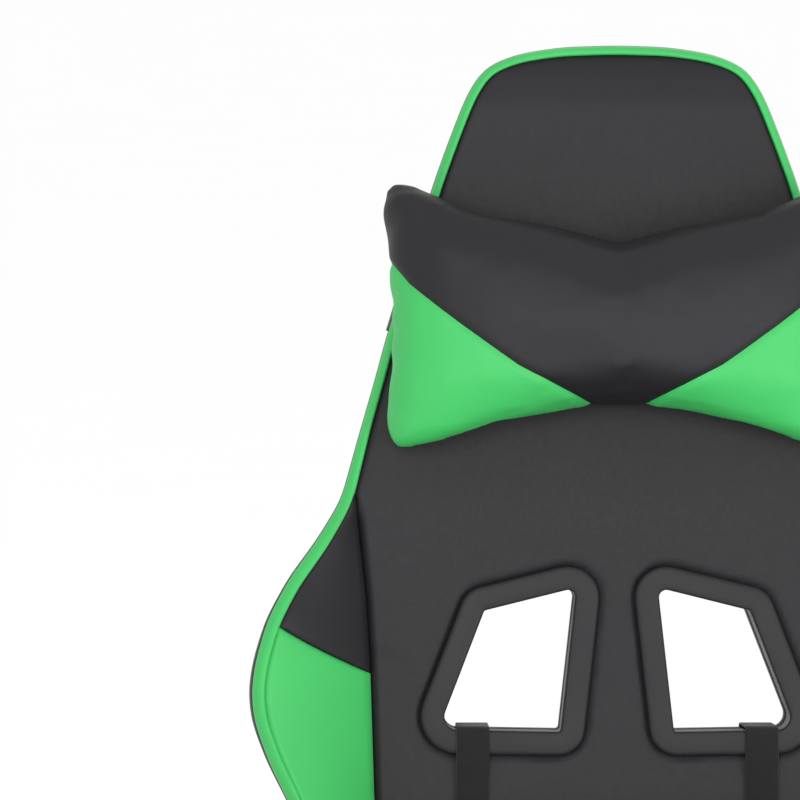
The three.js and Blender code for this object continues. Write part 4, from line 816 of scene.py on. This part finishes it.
def relaxed(obj, rounds, factor=0.5):
    with edited(obj) as bm:
        for _ in range(rounds):
            bmesh.ops.smooth_vert(bm, verts=bm.verts, factor=factor, use_axis_x=True,
                                  use_axis_y=True, use_axis_z=True)


def subdivided(obj):
    modifier = obj.modifiers.new("subdivide", "SUBSURF")
    modifier.levels = modifier.render_levels = 1
    bake(obj)
    smooth_shaded(obj.data)


def stuffed(obj, voxel, rounds, held, cap):
    """Fills a cover by simulation. held tells from world coordinates which points stay."""
    remeshed(obj, voxel * MM)
    relaxed(obj, rounds)
    inflated(obj, held(coordinates(obj)), cap * MM)
    relaxed(obj, 1, 0.4)
    subdivided(obj)
    return obj


def push_out(obj, distance):
    """Moves each point that many mm along its normal."""
    put_coordinates(obj, coordinates(obj) + normals(obj) * (distance * MM)[:, None])


def cut_along(obj, field):
    """Cuts the mesh where field, one value for each vertex, passes zero. Returns the new field."""
    with edited(obj) as bm:
        layer = bm.verts.layers.float.new("field")
        for vert, value in zip(bm.verts, field):
            vert[layer] = 0.0 if abs(value) < ON_THE_CUT else float(value)
        for edge in [e for e in bm.edges if e.verts[0][layer] * e.verts[1][layer] < 0]:
            a, b = edge.verts
            _, vert = bmesh.utils.edge_split(edge, a, a[layer] / (a[layer] - b[layer]))
            vert[layer] = 0.0
        for face in list(bm.faces):
            signs = {math.copysign(1, v[layer]) for v in face.verts if v[layer] != 0}
            zero = [v for v in face.verts if v[layer] == 0.0]
            if len(signs) == 2 and len(zero) == 2:
                try:
                    bmesh.utils.face_split(face, zero[0], zero[1])
                except ValueError:
                    pass
        return np.array([v[layer] for v in bm.verts])


def split_off(obj, name, field, material):
    """Moves the faces where field is below zero into a new object."""
    twin = obj.copy()
    twin.data = obj.data.copy()
    twin.name = name
    twin.data.name = name
    scene.collection.objects.link(twin)
    for each, below in ((obj, False), (twin, True)):
        with edited(each) as bm:
            gone = [f for f in bm.faces if (sum(field[v.index] for v in f.verts) < 0) != below]
            bmesh.ops.delete(bm, geom=gone, context="FACES")
    twin.data.materials.clear()
    twin.data.materials.append(material)
    return twin


def back_local(co):
    """World metres to the back's (u, w, v) in mm."""
    p = np.asarray(co) * 1000
    y, z = p[:, 1] - PIVOT[1], p[:, 2] - PIVOT[2]
    return np.stack([
        p[:, 0], y * math.cos(LEAN) - z * math.sin(LEAN), y * math.sin(LEAN) + z * math.cos(LEAN),
    ], -1)


PILLOW_OUTLINE = [
    (-0.72, 0), (-0.96, 0.2), (-1, 0.45), (-0.9, 0.75), (-0.55, 0.96), (0, 1), (0.55, 0.96),
    (0.9, 0.75), (1, 0.45), (0.96, 0.2), (0.72, 0), (0.36, 0), (0, 0), (-0.36, 0),
]
HEAD_STATIONS = [
    (-1, 511, 675, 20), (-0.985, 502, 688, 32), (-0.955, 499, 695, 44), (-0.9, 499, 697, 56),
    (-0.76, 504, 689, 70), (-0.58, 513.5, 678, 77), (-0.25, 524, 668, 82), (0, 527.5, 657, 84),
]
LUMBAR_STATIONS = [
    (-1, 66, 208, 22), (-0.97, 52, 222, 38), (-0.88, 44, 230, 54), (-0.6, 48, 228, 70),
    (-0.3, 54, 224, 76), (0, 56, 222, 78),
]
FULL_THICKNESS = 84
HEAD_SEAM = [
    (0, 524.0), (9, 526.0), (22.8, 533.0), (49.5, 547.0), (74.7, 561.0), (94.8, 575.4),
    (115.5, 590.3), (138.5, 607.8), (155.6, 621.4), (160.8, 627.3), (171.2, 639.4), (190, 659),
]
LUMBAR_SEAM = [(0, 40), (60, 62), (110, 105), (152, 160), (170, 185)]
HEAD_STRAP_HEIGHTS = (590, 626)


def pillow(name, half_width, rear, stations, shrink):
    """A stuffed pillow on the back's front, lofted through its stations of (share of the half width,
    bottom, top, thickness), which are given for one half."""
    full = [*stations, *[(-s, *rest) for s, *rest in reversed(stations[:-1])]]
    shares = [s for s, *_ in full]
    rings = []
    for share in np.unique(np.concatenate([shares, np.linspace(-0.97, 0.97, 33)])):
        bottom, top, thick = (np.interp(share, shares, [row[k] for row in full]) for k in (1, 2, 3))
        middle, reach = (bottom + top) / 2, (top - bottom) / 2 - shrink
        lift = (FULL_THICKNESS - thick) * 0.14
        rings.append([
            (share * (half_width - shrink), rear - lift - w * (thick - shrink), middle + v * reach)
            for v, w in PILLOW_OUTLINE
        ])
    obj = closed_loft(name, back_world(np.array(rings)), BLACK_LEATHER)
    return stuffed(obj, 5, 2, lambda co: back_local(co)[:, 1] > rear - 3.0, 9)


def end_puckers(obj, half_width, amount, seed):
    """Small gathers that run in from each end of a pillow, where the cover is sewn shut."""
    u, w, v = back_local(coordinates(obj)).T
    near = np.exp(-((half_width - np.abs(u)) / 16) ** 2)
    phase = v / 5.2 + 2.0 * np.sin(v / 17 + seed) + w / 9
    slow = undulation(u, v, 46, seed) * 1.4 + undulation(u + w, v - w, 20, seed + 5) * 0.4
    push_out(obj, near * amount * np.sin(phase) + slow)


def green_corners(obj, seam, slope, name):
    """Splits off what lies below a pillow's seam, which is drawn in. seam gives heights by distance
    from the middle, and slope turns a height above it into a distance."""
    def from_seam():
        u, _, v = back_local(coordinates(obj)).T
        return (v - lookup(seam, np.abs(u))) * slope

    values = cut_along(obj, from_seam())
    push_out(obj, -valley(from_seam(), 1.5, 2.2, 0.8))
    return split_off(obj, name, values, GREEN_LEATHER)


def head_pillow():
    obj = pillow("head_pillow_cover", 175, -34, HEAD_STATIONS, 0.6)
    co = coordinates(obj)
    u, _, v = back_local(co).T
    reach = np.clip((np.abs(u) - 105) / 70, 0, 1) ** 2
    waist = 1.5 + 7.0 * np.exp(-((v - 590) / 52) ** 2) - 5.5 * np.exp(-((v - 695) / 32) ** 2)
    co[:, 2] += reach * 3.5 * np.clip((v - 650) / 30, 0, 1) * MM
    co[:, 0] -= np.sign(u) * reach * waist * MM
    put_coordinates(obj, co)
    end_puckers(obj, 173, 0.8, 3.0)
    corners = green_corners(obj, HEAD_SEAM, 0.83, "head_pillow_corners")
    finished(obj, "back", ["head_pillow"])
    finished(corners, "back", ())


def lumbar_pillow():
    obj = pillow("lumbar_pillow_cover", 152, -43.4, LUMBAR_STATIONS, 3.0)
    end_puckers(obj, 149, 0.9, 8.0)
    corners = green_corners(obj, LUMBAR_SEAM, 0.75, "lumbar_pillow_corners")
    finished(obj, "back", ["lumbar_pillow"])
    finished(corners, "back", ())


# ------------ seat cushion
SEAT_HALF_WIDTH = [
    (-290, 196), (-284, 214), (-270, 230), (-230, 246), (-150, 256), (-60, 258), (30, 250),
    (80, 232), (104, 206), (172, 194),
]
BOLSTER_TOP = [
    (-290, 428), (-270, 446), (-230, 464), (-150, 482), (-20, 486), (60, 476), (104, 458), (172, 448),
]
SEAT_SEAM = [(-300, 136), (-230, 156), (-60, 174), (30, 168), (104, 124), (172, 112)]
SEAT_CENTRE_TOP = [(-290, 414), (-270, 436), (-230, 448), (-150, 451), (104, 450), (172, 448)]
SEAT_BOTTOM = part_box("seat_cushion")[0].z * 1000
SEAT_FRONT, SEAT_REAR = -290, 172
SEAT_CHANNELS = (-175, -95, -15, 65)


def seat_section(y, shrink):
    """The cushion's closed outline at y, made smaller all round so that stuffing can fill it."""
    half = lookup(SEAT_HALF_WIDTH, y) - shrink
    bolster = lookup(BOLSTER_TOP, y) - shrink
    top = lookup(SEAT_CENTRE_TOP, y) - shrink * 0.6
    low = SEAT_BOTTOM + 1.0
    right = [
        (0, low), (half * 0.5, low), (half - 12, low), (half - 3, low + 4), (half, low + 14),
        (half + 1, (low + bolster) / 2), (half, bolster - 34), (half - 6, bolster - 14),
        (half - 20, bolster), (half - 44, bolster - 3), (half - 72, top + (bolster - top) * 0.35),
        (half - 88, top), (half * 0.3, top), (0, top),
    ]
    left = [(-x, z) for x, z in reversed(right[1:-1])]
    return [(x, y, z) for x, z in right + left]


def seat_seam(y):
    """Distance from the middle to the seam between the seat's centre and its bolsters."""
    return smooth_lookup(SEAT_SEAM, y, 12)


def seat_fields(co):
    """Signed distances to the bolster seams and to the seams of the green inserts."""
    x, y, z = (co * 1000).T
    bolster = seat_seam(y) - np.abs(x)
    insert = np.minimum(-(bolster + 2), -(y + 96 - 0.75 * (np.abs(x) - 190)))
    return bolster, np.minimum(insert, z - (SEAT_BOTTOM + 22))


def seat_cushion():
    stations = np.unique(np.concatenate([
        [y for y, _ in SEAT_HALF_WIDTH], np.arange(SEAT_FRONT + 5, SEAT_REAR, 18),
    ]))
    shrink = 3.5
    inside = np.clip(stations, SEAT_FRONT + shrink, SEAT_REAR - shrink)
    rings = [seat_section(float(y), shrink) for y in inside]
    obj = closed_loft("seat_cushion_cover", world(np.array(rings)), BLACK_LEATHER)
    stuffed(obj, 6, 3, lambda co: co[:, 2] * 1000 < SEAT_BOTTOM + 12, 8)
    values = cut_along(obj, -seat_fields(coordinates(obj))[1])
    bolster, insert = seat_fields(coordinates(obj))
    x, y, _ = (coordinates(obj) * 1000).T
    on_top = np.clip((normals(obj)[:, 2] - 0.2) / 0.4, 0, 1)
    dip = on_top * valley(bolster, 3.0, 3.2, 1.8, 14) + valley(insert, 1.4, 2.4)
    for line in SEAT_CHANNELS:
        bow = line + 10 * np.cos(x / 110)
        dip = dip + on_top * np.clip(bolster / 12, 0, 1) * valley(y - bow, 2.4, 3.2, 1.4, 13)
    push_out(obj, undulation(x, y, 80, 2.2) * 1.2 - dip)
    co = coordinates(obj)
    co[:, 2] = np.maximum(co[:, 2], (SEAT_BOTTOM + 0.2) * MM)
    put_coordinates(obj, co)
    inserts = split_off(obj, "seat_bolster_inserts", values, GREEN_LEATHER)
    finished(obj, "seat", ["seat_cushion"])
    finished(inserts, "seat", ())


# ------------ straps
def ribbon(name, path, across, half_width, thickness, replaces):
    """Webbing along world-mm points, its width lying along across."""
    out = unit(np.cross(unit(np.gradient(path, axis=0)), across))
    face = [(-0.96, 0.5), (-0.5, 0.5), (0, 0.5), (0.5, 0.5), (0.96, 0.5)]
    section = [(-1, 0.0), *face, (1, 0.0), *[(-share, -lift) for share, lift in face]]
    rows = [path + across * (share * half_width) + out * (lift * thickness) for share, lift in section]
    obj = patch(name, world(np.stack(rows, 1)), WEBBING, wrap=True)
    return finished(recalculated(obj), "back", replaces)


def rounded_path(corners, radius, step=3.0):
    """A closed 2D polygon with rounded corners, as points, its first repeated at the end."""
    corners = [np.asarray(c, float) for c in corners]
    out = []
    for i, corner in enumerate(corners):
        before = corners[i - 1] - corner
        after = corners[(i + 1) % len(corners)] - corner
        r = min(radius, np.linalg.norm(before) * 0.45, np.linalg.norm(after) * 0.45)
        a = corner + unit(before) * r
        b = corner + unit(after) * r
        for t in np.linspace(0, 1, 6):
            out.append((1 - t) ** 2 * a + 2 * t * (1 - t) * corner + t ** 2 * b)
    return resampled([*out, out[0]], step=step)


def lumbar_strap(side):
    """A webbing loop round the back, through a cutout and under the bottom."""
    loop = rounded_path([
        (41.6, 294.4), (-46.4, 294.4), (-46.6, 272), (-42.4, 252), (-42.0, 120), (-42.0, 10.4),
        (36.8, 10.4), (37.0, 252), (41.6, 272),
    ], 5)
    w, v = loop.T
    drift = np.where(w < 0, np.clip((280 - v) / 280, 0, 1) * 3.0, 0)
    points = back_world(np.stack([side * (107.0 + drift), w, v], -1)) * 1000
    name = "lumbar_strap_" + hand(side)
    across = np.tile([1.0, 0.0, 0.0], (len(points), 1))
    return ribbon(name + "_webbing", points, across, 12.2, 1.5, [name])


def head_strap():
    """The elastic strap round the back behind the head pillow."""
    def section(v):
        half = float(inset_half(v, 0))
        near, far = float(front_w(half - 42, v)), float(front_w(half - 10, v))
        outline = [
            (half - 42, near - 1.3), (half - 13, float(front_w(half - 14, v)) - 1.5),
            (half - 4, far + 2.0), (half + 0.8, far + 12), (half + 1.4, 5.0), (half + 1.2, 20.0),
            (half - 3, 33.5), (half - 14, 36.2), (half * 0.5, 36.2), (0, 36.2),
        ]
        return outline + [(-u, w) for u, w in reversed(outline[:-1])]

    rows = []
    for v in np.linspace(*HEAD_STRAP_HEIGHTS, 9):
        line = resampled(section(v), 150)
        for k in (0, 1):
            line[2:-2, k] = np.convolve(line[:, k], np.ones(5) / 5, "valid")
        rows.append(np.stack([line[:, 0], line[:, 1], np.full(len(line), v)], -1))
    obj = patch("head_pillow_strap_elastic", back_world(np.stack(rows, 0)), WEBBING)
    recalculated(obj)
    assign(obj.modifiers.new("thickness", "SOLIDIFY"), thickness=1.2 * MM, offset=0)
    bake(obj)
    return finished(obj, "back", ["head_pillow_strap"])


# ------------ armrest pads
def level_ring(x, y, z):
    """Points of a ring at height z."""
    return np.stack([x, y, np.full(len(x), z)], -1)


def armrest_pad(side):
    """A soft pad, nearly square at its corners, with a crowned top."""
    name = "armrest_pad_" + hand(side)
    low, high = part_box(name)
    middle, half = (low + high) * 500, (high - low) * 500
    angles = np.linspace(0, 2 * math.pi, 120, endpoint=False)
    c, s = np.cos(angles), np.sin(angles)
    across = np.sign(c) * np.abs(c) ** (2 / 5)
    along = np.sign(s) * np.abs(s) ** (2 / 7)
    rings = []
    for inset, z in (
        (30, 0), (8, 0), (3, 1), (0.8, 3.5), (0, 7), (0.6, 8.6), (0.6, 9.6), (0, 11), (0, 15),
        (0.6, 19), (2.2, 22.6), (5.5, 25.6), (10, 27.2), (16, 27.9), (24, 27.6), (34, 27.2),
    ):
        x = middle.x + (half.x - inset) * across
        y = middle.y + (half.y - inset) * along
        rings.append(level_ring(x, y, low.z * 1000 + z))
    obj = closed_loft("armrest_pad_skin_" + hand(side), world(rings), SOFT_PAD)
    return finished(obj, "armrest_" + hand(side), [name])


# ------------ turned and moulded pieces
def caster_wheels(number):
    """Two moulded wheels with treads, rims and hub caps on one axle."""
    centre, axis = joint(f"caster_{number}_roll")
    axis = unit(axis)
    forward = np.cross(axis, (0, 0, 1))
    basis = np.stack([forward, np.cross(axis, forward), axis], 0)

    def place(points):
        return centre + points @ basis

    profile = [
        (3.0, 7.0), (22, 7.0), (27.2, 7.3), (29.0, 8.6), (29.38, 10.4), (29.38, 12.6), (29.0, 13.2),
        (29.0, 13.9), (29.38, 14.5), (29.38, 18.6), (29.0, 21.0), (27.8, 23.2), (25.6, 24.3),
        (23.4, 24.2), (22.6, 22.6), (21.8, 21.6), (16, 21.4), (12.5, 21.8), (11.6, 23.0),
        (10.2, 23.7), (6, 24.0), (0.2, 24.1),
    ]
    mirrored = [(r, -z) for r, z in reversed(profile)]
    obj = turned_object(f"caster_{number}_twin_wheels", profile + mirrored, WHEEL_NYLON, place, 72)
    return finished(obj, f"caster_{number}_wheel_body", [f"caster_{number}_wheels"])


def tube_cover(node, body, lip_foot):
    """A section of the telescopic cover, with a bead at its rim."""
    low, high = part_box(node)
    foot_radius = (high.y - low.y) / 2 * 1000
    radius = foot_radius - lip_foot
    bottom, top = low.z * 1000, high.z * 1000
    wall = 1.8
    profile = [
        (radius - wall, bottom), (foot_radius - 0.4, bottom), (foot_radius, bottom + 0.5),
        (foot_radius, bottom + 2.6), (radius, bottom + 3.0), (radius, top - 4.5),
        (radius + 0.35, top - 3.8), (radius + 0.35, top - 1.2), (radius, top - 0.4),
        (radius - 0.6, top), (radius - wall, top),
    ]
    obj = turned_object(node + "_tube", profile, BLACK_NYLON)
    return finished(obj, body, [node])


def tension_knob():
    """A lobed grip on a plain rod, with a hexagon nut at the top."""
    low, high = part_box("tension_knob")
    cx, cy = (low.x + high.x) * 500, (low.y + high.y) * 500
    bottom, top = low.z * 1000, high.z * 1000
    angles = np.linspace(0, 2 * math.pi, 96, endpoint=False)
    lobes = 1.9 * (0.5 + 0.5 * np.cos(angles * 8)) ** 3
    flats = 0.93 / np.cos((angles + math.pi / 6) % (math.pi / 3) - math.pi / 6)
    grip = [
        (0.5, 0, 0), (14, 0, 0), (18.4, 0.3, 0.2), (21.4, 1.6, 0.6), (22.8, 4, 1), (23, 8, 1),
        (23, 22, 1), (22.4, 24.6, 0.8), (20.4, 26.6, 0.4), (17.2, 28, 0), (16.8, 30, 0),
        (16.8, 33.4, 0), (16, 34, 0), (5.1, 34, 0), (5.0, 34.6, 0), (5.0, 139, 0),
    ]
    sections = [(r - depth * lobes, bottom + z) for r, z, depth in grip]
    for r, z, shape in ((5, 5.7, 1), (9, 5.6, flats), (9, 1, flats), (8, 0, flats), (0.5, 0, 1)):
        sections.append((r * shape * np.ones_like(angles), top - z))
    rings = [level_ring(cx + r * np.cos(angles), cy + r * np.sin(angles), z) for r, z in sections]
    obj = closed_loft("tension_knob_grip", world(rings), BLACK_NYLON)
    obj.data.set_sharp_from_angle(angle=math.radians(40))
    return finished(obj, "tension_knob_body", ["tension_knob"])


def spring_coil():
    """The tilt spring's wire, a fixed coil between the knob and the mechanism."""
    low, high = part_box("tension_spring")
    wire = 2.0
    cx, cy = (low.x + high.x) * 500, (low.y + high.y) * 500
    radius = (high.x - low.x) * 500 - wire
    bottom, top = low.z * 1000 + wire, high.z * 1000 - wire
    count, turns = 170, 5
    t = np.linspace(0, 1, count)
    rise = bottom + (top - bottom) * np.clip((t - 0.12) / 0.76, 0, 1)
    turn = 2 * math.pi * turns * t
    path = np.stack([cx + radius * np.cos(turn), cy + radius * np.sin(turn), rise], -1)
    rings = []
    for i, p in enumerate(path):
        ahead = unit(path[min(i + 1, count - 1)] - path[max(i - 1, 0)])
        side = np.array([p[0] - cx, p[1] - cy, 0]) / radius
        up = np.cross(ahead, side)
        rings.append([p + wire * (math.cos(a) * side + math.sin(a) * up)
                      for a in np.linspace(0, 2 * math.pi, 10, endpoint=False)])
    obj = closed_loft("tension_spring_wire", world(np.array(rings)), BARE_STEEL)
    finished(obj, "seat", ["tension_spring"])
    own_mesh(obj)


# ------------ all the pieces
front_panel()
for wing_side in (1, -1):
    wing_panel(wing_side, True)
    wing_panel(wing_side, False)
    for is_front in (True, False):
        bezel(wing_side, is_front)
    lumbar_strap(wing_side)
    armrest_pad(wing_side)
edge_band()
side_cover()
rear_panel()
head_strap()
head_pillow()
lumbar_pillow()
seat_cushion()
for caster_number in range(1, 6):
    caster_wheels(caster_number)
tube_cover("cover_lower", "base", 0.0)
tube_cover("cover_middle", "cover_middle_body", 1.2)
tube_cover("cover_upper", "column", 0.9)
tension_knob()
spring_coil()

# ------------ carried-over CAD nodes
node_slots = {s["node"]: s["material_slot"] for s in frame["record"]["subparts"]}
BEVELS = {
    "star_base": 1.6, "tilt_channel": 0.5, "tilt_plate": 0.4, "height_lever_grip": 1.4,
    "recline_lever": 1.6, "recliner_cover": 1.2, "side_bracket": 0.5, "back_arm": 0.5,
    "armrest_bracket": 0.7, "armrest_post": 0.8, "armrest_button": 0.8,
}
for node_name, node_object in frame["nodes"].items():
    if node_object.hide_render:
        continue
    node_object.data.materials.clear()
    node_object.data.materials.append(SLOT_MATERIALS[node_slots[node_name]])
    smooth_shaded(node_object.data)
    node_object.data.set_sharp_from_angle(angle=math.radians(32))
    stem = node_name.removesuffix("_left").removesuffix("_right")
    width = BEVELS.get(stem, 0.8 if "_fork" in stem else 0.0)
    if width:
        bevel = node_object.modifiers.new("edges", "BEVEL")
        assign(bevel, width=width * MM, segments=2, limit_method="ANGLE", use_clamp_overlap=True,
               angle_limit=math.radians(35))

# ------------ floor and light
floor_material, floor_tree, floor_shader, floor_coords = node_maker("floor")
clouds = noise_node(floor_tree, floor_coords, 3, 3)
feed(floor_tree, floor_shader, {
    "Base Color": mixed(floor_tree, clouds, (0.955, 0.955, 0.955), (0.97, 0.97, 0.97)),
    "Roughness": 0.9,
})
reach = 30.0
floor_corners = [(-reach, -reach, 0), (reach, -reach, 0), (reach, reach, 0), (-reach, reach, 0)]
floor = mesh_object("floor", floor_corners, [(0, 1, 2, 3)], floor_material)

sky = bpy.data.worlds.new("studio")
sky.use_nodes = True
sky.node_tree.nodes["Background"].inputs["Color"].default_value = (1, 1, 1, 1)
sky.node_tree.nodes["Background"].inputs["Strength"].default_value = 1.02
scene.world = sky


def area_light(name, place, aim, size_m, power):
    data = bpy.data.lights.new(name, "AREA")
    assign(data, shape="DISK", size=size_m, energy=power)
    aimed(name, data, place, aim).visible_camera = False


area_light("key", (-0.7, -4.3, 1.9), (0, 0.1, 0.8), 2.4, 80)
area_light("fill", (2.2, -3.2, 0.9), (0, 0.1, 0.7), 2.0, 60)
area_light("rim", (0.4, 3.0, 2.6), (0, 0.2, 0.8), 1.6, 10)
